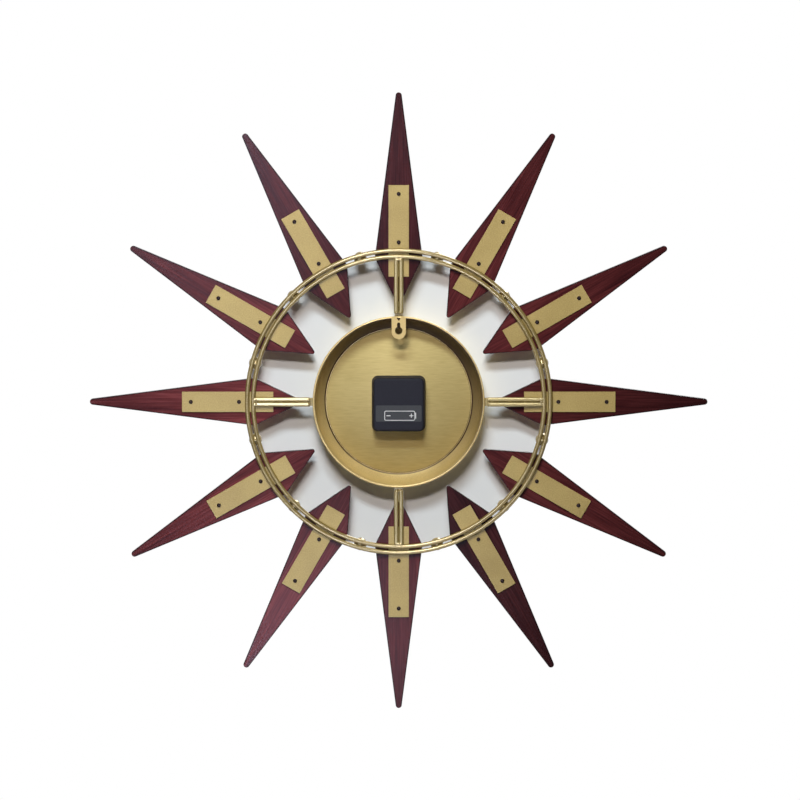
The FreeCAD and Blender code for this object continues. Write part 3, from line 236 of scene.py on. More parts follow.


# Gold metallic spray paint on steel: a warm satin sheen from the flake, a slight orange peel,
# and a faint cloudiness where the coats overlap.

# One gold paint on the real clock: the lighter and darker copies below stand in for light and
# shade
paint = {
    "frame": {"name": "goldSprayPaint", "colour": "#B8A05B", "shade": "#A28A49",
              "roughness": 0.4, "metallic": 0.15, "specular": 0.4, "peel": 1.8 * mm,
              "depth": 0.03 * mm},
    # the same paint, glossier and a darker copy: painted shade on the rods and balls
    "rods": {"name": "goldSprayPaintRodDarker", "colour": "#AF9A60", "shade": "#927E46",
             "roughness": 0.22, "metallic": 0.3, "specular": 1.0, "peel": 1.8 * mm,
             "depth": 0.02 * mm},
    # a lighter copy of the rods' paint: painted light on the struts
    "struts": {"name": "goldSprayPaintStrutLighter", "colour": "#BFAC72", "shade": "#A59259",
               "roughness": 0.22, "metallic": 0.3, "specular": 1.0, "peel": 1.8 * mm,
               "depth": 0.02 * mm},
    # a lighter copy of the frame's paint: painted light on the keyhole plate
    "hanger": {"name": "goldSprayPaintHangerLighter", "colour": "#DABE78", "shade": "#C8AC68",
               "roughness": 0.4, "metallic": 0.15, "specular": 0.4, "peel": 1.8 * mm,
               "depth": 0.03 * mm},
    "dial": {"name": "mattGoldSprayPaint", "colour": "#CFBC80", "shade": "#C2AE73",
             "roughness": 0.5, "metallic": 0.05, "specular": 0.06, "peel": 1.3 * mm,
             "depth": 0.05 * mm,
             "rolled": 9,              # rolling marks in the sheet, this much longer than wide
             "crown": 0.16},           # it takes the light as if domed to this radius
    # a lighter copy of the same paint: painted light on the pan's lit lower wall
    "pan": {"name": "goldSprayPaintPanLitAndShaded", "colour": "#E6CB88", "shade": "#D2B774",
            "roughness": 0.42, "metallic": 0.3, "specular": 0.6, "peel": 1.8 * mm,
            "depth": 0.03 * mm},
    "seamShade": {                      # where dial and pan meet: painted shade in the narrow gap between them
        "dial": {"along": "radius", "from": 88.9 * mm, "to": 89.3 * mm},
        "pan": {"along": "depth", "from": -7.0 * mm, "to": -7.4 * mm},
        "panEnd": -8.3 * mm,       # no painted shade on the front of the pan
        "colour": "#452F15",
        "litBelow": -84 * mm,      # more light reaches into it at the bottom
        "darkAbove": -50 * mm,
        "leastDark": 0.75,
    },
    "upperWallShade": {                    # painted shade on the pan's inner wall, darkest near its top, which faces away from the light
        "colour": "#3B2413",
        "facing": -5 * mm,         # below this, a surface faces the axis
        # tilted, so that the painted shade reaches lower on one side
        "lean": math.radians(20),
        "none": -92 * mm,
        "most": 80 * mm,
        "share": 0.94,
    },
    "flake": 1.4 * mm,             # the real one is about 0.05 mm, drawn coarser to show
    "cloud": 45 * mm,
    "cloudShare": 0.4,             # clouds against flake
    "shades": (0.35, 0.65),        # where shade and colour lie in them
    "glossSpread": 0.06,
    "peelStrength": 0.6,
}


def addCrown(tree, coords, radius):
    flat = addNode(tree, "ShaderNodeMapping", {"Scale": (1, 0, 1)},
                   {"Vector": coords.outputs["Object"]})
    square = addNode(tree, "ShaderNodeVectorMath", {"operation": "DOT_PRODUCT"},
                     {0: flat.outputs[0], 1: flat.outputs[0]})
    height = addNode(tree, "ShaderNodeMath", {"operation": "MULTIPLY", 1: -0.5 / radius},
                     {0: square.outputs["Value"]})     # fall of a shallow dome
    bow = addNode(tree, "ShaderNodeBump", {"Strength": 1.0, "Distance": 1.0},
                  {"Height": height.outputs[0]})
    return bow.outputs[0]


# Painted shade on the inside of the pan's wall
def addUpperWallShade(tree, coords, base):
    upperWallShade = paint["upperWallShade"]
    flat = addNode(tree, "ShaderNodeMapping", {"Scale": (1, 0, 1)},
                   {"Vector": coords.outputs["Object"]})
    facing = addNode(tree, "ShaderNodeVectorMath", {"operation": "DOT_PRODUCT"},
                     {0: flat.outputs[0], 1: coords.outputs["Normal"]})
    inside = addNode(tree, "ShaderNodeMath", {"operation": "LESS_THAN", 1: upperWallShade["facing"]},
                     {0: facing.outputs["Value"]})
    leaning = addNode(tree, "ShaderNodeMapping", {"Rotation": (0, upperWallShade["lean"], 0)},
                      {"Vector": coords.outputs["Object"]})
    place = addNode(tree, "ShaderNodeSeparateXYZ", None, {0: leaning.outputs[0]})
    height = addNode(tree, "ShaderNodeMapRange", {
        "From Min": upperWallShade["none"], "From Max": upperWallShade["most"],
        "To Min": 0.0, "To Max": upperWallShade["share"]}, {"Value": place.outputs[2]})
    amount = addNode(tree, "ShaderNodeMath", {"operation": "MULTIPLY"},
                     {0: inside.outputs[0], 1: height.outputs[0]})
    mixed = addNode(
        tree, "ShaderNodeMix", {"data_type": "RGBA", 7: hexColour(upperWallShade["colour"])},
        {0: amount.outputs[0], 6: base})
    return mixed.outputs[2]


# Painted shade along the gap between dial and pan, lighter towards the bottom
def addSeamShade(tree, coords, base, kind):
    seamShade = paint["seamShade"]
    line = seamShade[kind]
    flat = addNode(tree, "ShaderNodeMapping", {"Scale": (1, 0, 1)},
                   {"Vector": coords.outputs["Object"]})
    radius = addNode(tree, "ShaderNodeVectorMath", {"operation": "LENGTH"},
                     {0: flat.outputs[0]})
    place = addNode(tree, "ShaderNodeSeparateXYZ", None, {0: coords.outputs["Object"]})
    measure = radius.outputs["Value"] if line["along"] == "radius" else place.outputs[1]
    near = addNode(tree, "ShaderNodeMapRange", {
        "interpolation_type": "SMOOTHSTEP", "From Min": line["from"], "From Max": line["to"],
        "To Min": 0.0, "To Max": 1.0}, {"Value": measure})
    behind = addNode(tree, "ShaderNodeMath", {"operation": "GREATER_THAN", 1: seamShade["panEnd"]},
                     {0: place.outputs[1]})
    shaded = addNode(tree, "ShaderNodeMapRange", {
        "interpolation_type": "SMOOTHSTEP", "From Min": seamShade["litBelow"],
        "From Max": seamShade["darkAbove"], "To Min": seamShade["leastDark"], "To Max": 1.0},
        {"Value": place.outputs[2]})
    back = addNode(tree, "ShaderNodeMath", {"operation": "MULTIPLY"},
                   {0: near.outputs[0], 1: behind.outputs[0]})
    amount = addNode(tree, "ShaderNodeMath", {"operation": "MULTIPLY"},
                     {0: back.outputs[0], 1: shaded.outputs[0]})
    mixed = addNode(tree, "ShaderNodeMix", {"data_type": "RGBA", 7: hexColour(seamShade["colour"])},
                    {0: amount.outputs[0], 6: base})
    return mixed.outputs[2]


def goldPaint(kind):
    coat = paint[kind]
    material, tree, shader = newMaterial(
        coat["name"], Metallic=coat["metallic"], Roughness=coat["roughness"],
        Specular_IOR_Level=coat["specular"])
    coords = addNode(tree, "ShaderNodeTexCoord")
    stretched = addNode(tree, "ShaderNodeMapping", {"Scale": (1 / coat.get("rolled", 1), 1, 1)},
                        {"Vector": coords.outputs["Object"]})
    flake = addNode(tree, "ShaderNodeTexNoise", {"Scale": 1 / paint["flake"], "Detail": 2.0},
                    {"Vector": stretched.outputs[0]})
    cloud = addNode(tree, "ShaderNodeTexNoise", {"Scale": 1 / paint["cloud"], "Detail": 2.0},
                    {"Vector": coords.outputs["Object"]})
    peel = addNode(tree, "ShaderNodeTexNoise", {"Scale": 1 / coat["peel"], "Detail": 1.0},
                   {"Vector": coords.outputs["Object"]})
    both = addNode(tree, "ShaderNodeMix", {"data_type": "FLOAT", 0: paint["cloudShare"]},
                   {2: flake.outputs[0], 3: cloud.outputs[0]})
    tint = addNode(tree, "ShaderNodeValToRGB", None, {0: both.outputs[0]})
    setRamp(tint, zip(paint["shades"], (coat["shade"], coat["colour"])))
    gloss = addNode(tree, "ShaderNodeMapRange", {
        "To Min": coat["roughness"] - paint["glossSpread"],
        "To Max": coat["roughness"] + paint["glossSpread"]}, {"Value": cloud.outputs[0]})
    relief = addNode(
        tree, "ShaderNodeBump", {"Strength": paint["peelStrength"], "Distance": coat["depth"]},
        {"Height": peel.outputs[0]})
    if "crown" in coat:
        tree.links.new(addCrown(tree, coords, coat["crown"]), relief.inputs["Normal"])
    base = tint.outputs[0]
    if kind == "pan":
        base = addUpperWallShade(tree, coords, base)
    if kind in paint["seamShade"]:
        base = addSeamShade(tree, coords, base, kind)
    tree.links.new(base, shader.inputs["Base Color"])
    tree.links.new(gloss.outputs[0], shader.inputs["Roughness"])
    tree.links.new(relief.outputs[0], shader.inputs["Normal"])
    return material


# The small finishes share one recipe: two close colours mottled at a real grain size, and the
# same grain as relief. Each entry says what the real one is.

finishes = {
    # injection-moulded ABS with a spark-eroded texture: soft, even, slightly bluish black
    "mouldedCover": {"name": "mouldedAbsBlack", "colours": ("#202027", "#292931"),
                     "roughness": 0.6, "metallic": 0, "specular": 0.12,
                     "grain": (0.7 * mm, 0.7 * mm, 0.7 * mm), "depth": 0.03 * mm},
    # the closed movement and its knob: plain moulded ABS, a little glossier
    "movement": {"name": "mouldedAbsMovement", "colours": ("#141416", "#1B1B1E"),
                 "roughness": 0.42, "metallic": 0, "specular": 0.4,
                 "grain": (0.9 * mm, 0.9 * mm, 0.9 * mm), "depth": 0.02 * mm},
    # black-oxide steel screws: dark, with a brownish sheen
    "screw": {"name": "blackOxideSteel", "colours": ("#1D1512", "#33241E"),
              "roughness": 0.42, "metallic": 0.6, "specular": 0.3,
              "grain": (0.6 * mm, 0.6 * mm, 0.6 * mm), "depth": 0.01 * mm},
    # satin black enamel on the hands and hour markers
    "enamel": {"name": "satinBlackEnamel", "colours": ("#101011", "#161617"),
               "roughness": 0.3, "metallic": 0, "specular": 0.5,
               "grain": (1.5 * mm, 1.5 * mm, 1.5 * mm), "depth": 0.01 * mm},
    # brass arbors, nut and washer, turned: fine rings left by the tool
    "brass": {"name": "turnedBrass", "colours": ("#C9A55A", "#DABB75"),
              "roughness": 0.28, "metallic": 1, "specular": 0.5,
              "grain": (2.0 * mm, 0.3 * mm, 2.0 * mm), "depth": 0.01 * mm},
    # black nitrile washer: dull and slightly mottled
    "rubber": {"name": "nitrileRubber", "colours": ("#151515", "#1E1E1E"),
               "roughness": 0.8, "metallic": 0, "specular": 0.3,
               "grain": (0.8 * mm, 0.8 * mm, 0.8 * mm), "depth": 0.02 * mm},
    # nickel-plated spring steel of the battery contacts: bright, drawn lines
    "contact": {"name": "nickelPlate", "colours": ("#BDBCB6", "#CFCEC8"),
                "roughness": 0.25, "metallic": 1, "specular": 0.5,
                "grain": (0.5 * mm, 4 * mm, 0.5 * mm), "depth": 0.01 * mm},
    # matt vinyl film of the label: a tone lighter than the cover
    "label": {"name": "mattVinylFilm", "colours": ("#404245", "#4A4C4E"),
              "roughness": 0.6, "metallic": 0, "specular": 0.15,
              "grain": (0.9 * mm, 0.9 * mm, 0.9 * mm), "depth": 0.01 * mm},
    # white screen print on it, and black print on the dial: thin, flat, slightly uneven ink
    "whitePrint": {"name": "screenPrintWhite", "colours": ("#E4E5E6", "#F4F5F5"),
                   "roughness": 0.55, "metallic": 0, "specular": 0.2,
                   "grain": (0.8 * mm, 0.8 * mm, 0.8 * mm), "depth": 0.01 * mm},
    "blackPrint": {"name": "screenPrintBlack", "colours": ("#141312", "#1F1D1B"),
                   "roughness": 0.5, "metallic": 0, "specular": 0.3,
                   "grain": (0.8 * mm, 0.8 * mm, 0.8 * mm), "depth": 0.01 * mm},
}


mottle = {
    "shades": (0.3, 0.7),          # where the two colours lie in the grain
    "glossSpread": 0.05,
    "strength": 0.5,
}


def plainFinish(kind):
    finish = finishes[kind]
    material, tree, shader = newMaterial(
        finish["name"], Metallic=finish["metallic"], Roughness=finish["roughness"],
        Specular_IOR_Level=finish["specular"])
    coords = addNode(tree, "ShaderNodeTexCoord")
    size = addNode(tree, "ShaderNodeMapping", {"Scale": [1 / side for side in finish["grain"]]},
                   {"Vector": coords.outputs["Object"]})
    grain = addNode(tree, "ShaderNodeTexNoise", {"Scale": 1.0, "Detail": 2.0},
                    {"Vector": size.outputs[0]})
    tint = addNode(tree, "ShaderNodeValToRGB", None, {0: grain.outputs[0]})
    setRamp(tint, zip(mottle["shades"], finish["colours"]))
    gloss = addNode(tree, "ShaderNodeMapRange", {
        "To Min": finish["roughness"] - mottle["glossSpread"],
        "To Max": finish["roughness"] + mottle["glossSpread"]}, {"Value": grain.outputs[0]})
    relief = addNode(
        tree, "ShaderNodeBump", {"Strength": mottle["strength"], "Distance": finish["depth"]},
        {"Height": grain.outputs[0]})
    tree.links.new(tint.outputs[0], shader.inputs["Base Color"])
    tree.links.new(gloss.outputs[0], shader.inputs["Roughness"])
    tree.links.new(relief.outputs[0], shader.inputs["Normal"])
    return material


# Printed shrink sleeve of the cell: dark grey, with a copper band at the positive end.

cell = {
    "sleeve": "#34363A",
    "band": "#B4754A",
    "metal": "#C9C8C2",
    "bandFrom": -16 * mm,          # along X: the copper band starts here,
    "endFrom": -24.2 * mm,         # and the bare metal end here
    "wear": 0.8 * mm,              # grain of the rubbed print
    "roughness": (0.25, 0.38),
}


def cellSleeve():
    material, tree, shader = newMaterial("printedShrinkSleeve", Metallic=0.3, Roughness=0.3)
    coords = addNode(tree, "ShaderNodeTexCoord")
    place = addNode(tree, "ShaderNodeSeparateXYZ", None, {0: coords.outputs["Object"]})
    wear = addNode(tree, "ShaderNodeTexNoise", {"Scale": 1 / cell["wear"], "Detail": 2.0},
                   {"Vector": coords.outputs["Object"]})
    inBand = addNode(tree, "ShaderNodeMath", {"operation": "LESS_THAN", 1: cell["bandFrom"]},
                     {0: place.outputs[0]})
    atEnd = addNode(tree, "ShaderNodeMath", {"operation": "LESS_THAN", 1: cell["endFrom"]},
                    {0: place.outputs[0]})
    banded = addNode(tree, "ShaderNodeMix", {
        "data_type": "RGBA", 6: hexColour(cell["sleeve"]), 7: hexColour(cell["band"])},
        {0: inBand.outputs[0]})
    ended = addNode(tree, "ShaderNodeMix", {"data_type": "RGBA", 7: hexColour(cell["metal"])},
                    {0: atEnd.outputs[0], 6: banded.outputs[2]})
    gloss = addNode(tree, "ShaderNodeMapRange", {
        "To Min": cell["roughness"][0], "To Max": cell["roughness"][1]},
        {"Value": wear.outputs[0]})
    tree.links.new(ended.outputs[2], shader.inputs["Base Color"])
    tree.links.new(gloss.outputs[0], shader.inputs["Roughness"])
    return material


def dress(material, *names):
    for name in names:
        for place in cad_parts[name].material_slots:
            place.material = material


for number in numbers:
    dress(stainedWood(number), "spoke_%02d" % number)
rodGold = goldPaint("rods")
finish = {kind: plainFinish(kind) for kind in finishes}
dress(goldPaint("frame"), *["strap_%02d" % number for number in numbers])
dress(goldPaint("hanger"), "hanger_plate")
dress(rodGold, "ring_outer", "ring_inner", "ring_balls")
dress(goldPaint("struts"), "strut_top", "strut_right", "strut_bottom", "strut_left")
dress(goldPaint("pan"), "case_pan")
dress(goldPaint("dial"), "dial_plate")
dress(finish["screw"], "strap_screws")
dress(finish["enamel"], "hour_hand", "minute_hand", "second_hand", "hour_markers")
dress(finish["brass"], "hour_tube", "minute_cannon", "second_arbor")
dress(finish["brass"], "dial_washer", "mounting_nut")
dress(finish["movement"], "movement_case", "set_knob")
dress(finish["mouldedCover"], "movement_cover")
dress(finish["rubber"], "rubber_washer")
dress(finish["contact"], "battery_contacts")
dress(cellSleeve(), "battery")
print("CAD parts have their finishes")


# Modelling by hand: a primitive is placed, shaped in edit mode, then finished and copied

crease = 35                        # degrees; edges sharper than this stay sharp
cornerSteps = 6
tiny = 1e-7                        # metres


def addPiece(name, operator, **settings):
    bpy.ops.object.select_all(action="DESELECT")
    operator(**settings)
    bpy.ops.object.transform_apply(location=True, rotation=True, scale=True)
    piece = bpy.context.object
    piece.name = name
    return piece


def setMode(mode):
    bpy.ops.object.mode_set(mode=mode)


def pickFaces(piece, wanted):
    bpy.ops.mesh.select_mode(type="FACE")
    bpy.ops.mesh.select_all(action="DESELECT")
    mesh = bmesh.from_edit_mesh(piece.data)
    for face in mesh.faces:
        if wanted(face.calc_center_median(), face.normal):
            face.select_set(True)
    bmesh.update_edit_mesh(piece.data)


def extrudeBy(step):
    bpy.ops.mesh.extrude_region_move(TRANSFORM_OT_translate={"value": step})


def resizeBy(x, y, z):
    bpy.ops.transform.resize(value=(x, y, z), center_override=(0, 0, 0))


def roundCorners(piece, rounding):
    bpy.ops.mesh.select_mode(type="EDGE")
    bpy.ops.mesh.select_all(action="DESELECT")
    mesh = bmesh.from_edit_mesh(piece.data)
    for edge in mesh.edges:
        run = edge.verts[0].co - edge.verts[1].co
        if abs(run.x) < tiny and abs(run.z) < tiny:      # it runs through the thickness
            edge.select_set(True)
    bmesh.update_edit_mesh(piece.data)
    bpy.ops.mesh.bevel(offset=rounding, segments=cornerSteps)


def addSlab(name, width, height, thick, x, y, z, rounding):
    piece = addPiece(
        name, bpy.ops.mesh.primitive_cube_add, size=1, location=(x, y + thick / 2, z),
        scale=(width, thick, height))
    setMode("EDIT")
    roundCorners(piece, rounding)
    setMode("OBJECT")
    return piece


def applyModifier(piece, kind, **settings):
    modifier = piece.modifiers.new(kind.lower(), kind)
    for name, setting in settings.items():
        setattr(modifier, name, setting)
    bpy.context.view_layer.objects.active = piece
    bpy.ops.object.modifier_apply(modifier=modifier.name)


def copyTo(piece, name, place):
    copy = piece.copy()
    copy.data = piece.data.copy()
    copy.name = name
    copy.matrix_world = place
    bpy.context.collection.objects.link(copy)
    return copy


def pickPieces(*pieces):
    bpy.ops.object.select_all(action="DESELECT")
    for piece in pieces:
        piece.select_set(True)
    bpy.context.view_layer.objects.active = pieces[0]


def joinPieces(name, *pieces):
    pickPieces(*pieces)
    bpy.ops.object.join()
    pieces[0].name = name
    return pieces[0]


def finishPiece(piece, body, material, angle=crease):
    pickPieces(piece)
    bpy.ops.object.transform_apply(location=True, rotation=True, scale=True)
    bpy.ops.object.shade_smooth_by_angle(angle=math.radians(angle))
    piece.data.materials.clear()
    piece.data.materials.append(material)
    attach(piece, body)


# Pan-head screws with a cross recess, two in each strap

screw = {
    "headRadius": 2.5 * mm,
    "sideHeight": 0.5 * mm,
    "dome": ((2.36 * mm, 1.0 * mm), (2.0 * mm, 1.42 * mm), (1.5 * mm, 1.7 * mm)),
    "sides": 32,
    "shankRadius": 1.3 * mm,
    "shank": 5.4 * mm,             # under the head, before the point
    "point": 2.6 * mm,
    "pointEnd": 0.1,               # how much of the shank's width is left at its end
    "crossLength": 2.9 * mm,
    "crossWidth": 0.75 * mm,
    "crossDepth": 1.1 * mm,
    "crossEnd": 0.55,              # and of the cross at its bottom
    "places": {"inner": 196.9 * mm, "outer": 256.4 * mm},
    "twist": 37,                   # degrees from one screw's cross to the next one's
}


def addHead():
    radius, height = screw["headRadius"], screw["sideHeight"]
    piece = addPiece(
        "screw", bpy.ops.mesh.primitive_cylinder_add, vertices=screw["sides"], radius=radius,
        depth=height, end_fill_type="NGON", location=(0, 0, height / 2))
    setMode("EDIT")
    pickFaces(piece, lambda middle, normal: normal.z > 0.5)
    for nextRadius, nextHeight in screw["dome"]:
        extrudeBy((0, 0, nextHeight - height))
        resizeBy(nextRadius / radius, nextRadius / radius, 1)
        radius, height = nextRadius, nextHeight
    setMode("OBJECT")
    return piece, height


def addShank(piece):
    setMode("EDIT")
    pickFaces(piece, lambda middle, normal: normal.z < -0.5)
    bpy.ops.mesh.inset(thickness=screw["headRadius"] - screw["shankRadius"])
    extrudeBy((0, 0, -screw["shank"]))
    extrudeBy((0, 0, -screw["point"]))
    resizeBy(screw["pointEnd"], screw["pointEnd"], 1)
    setMode("OBJECT")


def cutCross(piece, top):
    for turn in (0, 90):
        cutter = addPiece(
            "cutter", bpy.ops.mesh.primitive_cube_add, size=1, location=(0, 0, top),
            rotation=(0, 0, math.radians(turn)),
            scale=(screw["crossLength"], screw["crossWidth"], 2 * screw["crossDepth"]))
        setMode("EDIT")
        pickFaces(cutter, lambda middle, normal: normal.z < -0.5)
        resizeBy(screw["crossEnd"], screw["crossEnd"], 1)
        setMode("OBJECT")
        applyModifier(piece, "BOOLEAN", object=cutter, operation="DIFFERENCE", solver="EXACT")
        bpy.data.objects.remove(cutter)


def addScrews():
    pattern, top = addHead()
    addShank(pattern)
    cutCross(pattern, top)
    strapBack = boxOf("strap_01")[1].y
    upright = Matrix.Rotation(math.radians(-90), 4, "X")      # its head towards the wall
    turns = 0
    for number in numbers:
        turn = Matrix.Rotation(spokeStep * (number - 1), 4, "Y")
        for where, radius in screw["places"].items():
            twist = Matrix.Rotation(math.radians(screw["twist"] * turns), 4, "Z")
            place = turn @ Matrix.Translation((0, strapBack, radius)) @ upright @ twist
            copy = copyTo(pattern, "screw_%02d_%s" % (number, where), place)
            finishPiece(copy, "frame", finish["screw"])
            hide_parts("strap_screws")
            turns += 1
    bpy.data.objects.remove(pattern)


addScrews()
print("screws are in")


# Weld beads: short rippled ones where the struts meet the inner ring and the tabs, and small
# tacks that bridge the two rings over each ball. The ripple is the thickness along the bead,
# and proud is how far a bead lies behind the middle of the rods.

weld = {
    "strut": {"length": 11.5 * mm, "width": 4.4 * mm, "rise": 3.4 * mm, "proud": 1.5 * mm,
              "radius": 175.8 * mm,
              "ripple": (0.35, 0.8, 1.0, 0.84, 1.02, 0.82, 0.98, 0.78, 0.35)},
    "tab": {"length": 9.6 * mm, "width": 3.6 * mm, "rise": 3.6 * mm, "proud": 1.9 * mm,
            "radius": 110.4 * mm,
            "ripple": (0.4, 0.95, 1.05, 0.8, 0.45, 0.85, 1.0, 0.9, 0.35)},
    "tack": {"length": 5.6 * mm, "width": 2.3 * mm, "rise": 2.6 * mm, "proud": 0.9 * mm,
             "radius": (clock["ringOuter"] + clock["ringInner"]) / 2,
             "ripple": (0.4, 0.9, 1.0, 0.85, 1.0, 0.9, 0.4)},
}
beadSides = 10
beadCrease = 60                    # degrees


def makeBead(kind):
    size = weld[kind]
    ripple = size["ripple"]
    step = size["length"] / (len(ripple) - 1)
    piece = addPiece(
        kind + "Bead", bpy.ops.mesh.primitive_circle_add, vertices=beadSides, radius=1.0,
        fill_type="NGON", rotation=(0, math.radians(90), 0))
    setMode("EDIT")
    bpy.ops.mesh.select_all(action="SELECT")
    resizeBy(1, ripple[0] * size["rise"] / 2, ripple[0] * size["width"] / 2)
    bpy.ops.transform.translate(value=(-size["length"] / 2, 0, 0))
    for before, after in zip(ripple, ripple[1:]):
        extrudeBy((step, 0, 0))
        resizeBy(1, after / before, after / before)
    bpy.ops.mesh.select_all(action="SELECT")
    bpy.ops.mesh.normals_make_consistent(inside=False)
    setMode("OBJECT")
    applyModifier(piece, "SUBSURF", levels=1, render_levels=1)
    return piece


def addBead(pattern, kind, name, turn, twist=0):
    place = Matrix.Translation((0, rodDepth + weld[kind]["proud"], weld[kind]["radius"]))
    bead = copyTo(pattern, name,
                  Matrix.Rotation(turn, 4, "Y") @ place @ Matrix.Rotation(twist, 4, "Y"))
    finishPiece(bead, "frame", rodGold, beadCrease)


def addWelds():
    pattern = {kind: makeBead(kind) for kind in weld}
    for quarter, side in enumerate(("top", "right", "bottom", "left")):
        for kind in ("strut", "tab"):
            addBead(pattern[kind], kind, "weld_%s_%s" % (kind, side), math.pi / 2 * quarter)
    for number in numbers:             # over the balls, halfway between two spokes
        addBead(pattern["tack"], "tack", "tack_%02d" % number, spokeStep * (number - 0.5),
                math.pi / 2)
    for shape in pattern.values():
        bpy.data.objects.remove(shape)


addWelds()
print("welds are in")


# Label on the cover: a matt film with the outline of a cell and its two signs

label = {
    "width": 56.4 * mm,
    "height": 20.1 * mm,
    "middle": -14.35 * mm,         # below the hands' axis
    "film": 0.12 * mm,
    "rounding": 1.5 * mm,
    "ink": 0.05 * mm,
    "line": 0.85 * mm,             # width of the cell's outline
    "cell": (37.8 * mm, 12.2 * mm),
    "cellPlace": (-1.2 * mm, -17.0 * mm),
    "cellRounding": 2.0 * mm,
    "sign": 5.0 * mm,              # length of minus and plus
    "signLine": 0.95 * mm,
    "signRounding": 0.95 * mm / 4,
    "minusPlace": 12.6 * mm,
    "plusPlace": -15.6 * mm,
    "nub": (1.9 * mm, 7.6 * mm),   # the cell's positive end
    "nubOffset": 1.9 * mm / 4,     # its middle, beyond the cell's end
    "nubRounding": 1.9 * mm / 3,
}
inkBase = boxOf("movement_cover")[1].y + label["film"]
symbolHeight = label["cellPlace"][1]


def addOutline():
    outline = addSlab(
        "batterySymbol", *label["cell"], label["ink"], label["cellPlace"][0], inkBase,
        symbolHeight, label["cellRounding"])
    setMode("EDIT")
    pickFaces(outline, lambda middle, normal: abs(normal.y) > 0.5)
    bpy.ops.mesh.inset(thickness=label["line"], use_individual=True)
    bpy.ops.mesh.bridge_edge_loops()
    setMode("OBJECT")
    return outline


def addPlus():
    line = label["signLine"]
    centre = Vector((label["plusPlace"], inkBase + label["ink"] / 2, symbolHeight))
    plus = addPiece(
        "plus", bpy.ops.mesh.primitive_cube_add, size=1, location=centre,
        scale=(line, label["ink"], line))
    setMode("EDIT")
    for way in ((1, 0, 0), (-1, 0, 0), (0, 0, 1), (0, 0, -1)):
        heading = Vector(way)
        pickFaces(plus, lambda middle, normal:
                  normal.dot(heading) > 0.9 and (middle - centre).length < line)
        extrudeBy(heading * (label["sign"] - line) / 2)
    setMode("OBJECT")
    return plus


def addLabel():
    film = addSlab(
        "coverLabel", label["width"], label["height"], label["film"],
        0, inkBase - label["film"], label["middle"], label["rounding"])
    finishPiece(film, "cover", finish["label"])

    outline = addOutline()
    nubEnd = label["cellPlace"][0] - label["cell"][0] / 2 - label["nubOffset"]
    nub = addSlab("nub", *label["nub"], label["ink"], nubEnd, inkBase, symbolHeight,
                  label["nubRounding"])
    minus = addSlab("minus", label["sign"], label["signLine"], label["ink"],
                    label["minusPlace"], inkBase, symbolHeight, label["signRounding"])
    symbol = joinPieces("batterySymbol", outline, nub, minus, addPlus())
    finishPiece(symbol, "cover", finish["whitePrint"])


addLabel()
print("label is on the cover")


# Minute track: a short printed tick for each minute between the hour markers

minuteTrack = {
    "minutes": 60,
    "markerEvery": 5,              # the hour markers stand there instead
    "radius": 81.6 * mm,
    "length": 2.2 * mm,
    "width": 0.5 * mm,
    "rounding": 0.1 * mm,
    "ink": 0.05 * mm,
}


def addMinuteTrack():
    dialFront = boxOf("dial_plate")[0].y
    ink = minuteTrack["ink"]
    pattern = addSlab(
        "minuteTick", minuteTrack["width"], minuteTrack["length"], ink, 0, dialFront - ink,
        minuteTrack["radius"], minuteTrack["rounding"])
    ticks = []
    for minute in range(minuteTrack["minutes"]):
        if minute % minuteTrack["markerEvery"]:
            turn = Matrix.Rotation(2 * math.pi * minute / minuteTrack["minutes"], 4, "Y")
            ticks.append(copyTo(pattern, "minuteTick%02d" % minute, turn))
    bpy.data.objects.remove(pattern)
    track = joinPieces("minuteTrack", *ticks)
    finishPiece(track, "frame", finish["blackPrint"])


addMinuteTrack()
print("minute track is printed")


# Stage: a pale floor well below the clock, a white card close behind the ring that takes the
# soft shadows of pan and spokes, and white all round.

stage = {
    "floor": {"name": "paleStudioFloor", "colour": "#F1F1EF", "paleness": 0.42,
              "roughness": 0.9, "specular": 0.1, "radius": 1.2, "sides": 96,
              "place": (0, 0, -0.70), "turn": 0},
    "card": {"name": "whiteCard", "colour": "#EFF4F6",
             "paleness": 0.02,     # the room light that reaches it under pan and spokes
             "roughness": 0.95, "specular": 0.0,
             "radius": 186.4 * mm,     # its edge hides behind the outer rod
             "sides": 128, "place": (0, -11.2 * mm, -2.0 * mm), "turn": -math.pi / 2},
}


def addDisc(kind):
    shape = stage[kind]
    disc = addPiece(
        kind, bpy.ops.mesh.primitive_circle_add, vertices=shape["sides"],
        radius=shape["radius"], fill_type="NGON", location=shape["place"],
        rotation=(shape["turn"], 0, 0))
    material, tree, shader = newMaterial(
        shape["name"], Base_Color=hexColour(shape["colour"]), Roughness=shape["roughness"],
        Specular_IOR_Level=shape["specular"], Emission_Color=hexColour(shape["colour"]),
        Emission_Strength=shape["paleness"])
    disc.data.materials.append(material)
    return disc, tree, shader


def paleRays(tree):
    ray = addNode(tree, "ShaderNodeLightPath")
    clear = addNode(tree, "ShaderNodeMath", {"operation": "MAXIMUM"}, {
        0: ray.outputs["Is Camera Ray"], 1: ray.outputs["Is Transmission Ray"]})
    seen = addNode(tree, "ShaderNodeMath", {"operation": "MAXIMUM"}, {
        0: clear.outputs[0], 1: ray.outputs["Is Glossy Ray"]})
    return ray, clear, seen


def addFloor():
    floor, tree, shader = addDisc("floor")
    ray, clear, seen = paleRays(tree)
    pale = addNode(
        tree, "ShaderNodeMath", {"operation": "MULTIPLY", 1: stage["floor"]["paleness"]},
        {0: seen.outputs[0]})
    tree.links.new(pale.outputs[0], shader.inputs["Emission Strength"])
    floor.visible_diffuse = False      # it sends no light back up into the pan


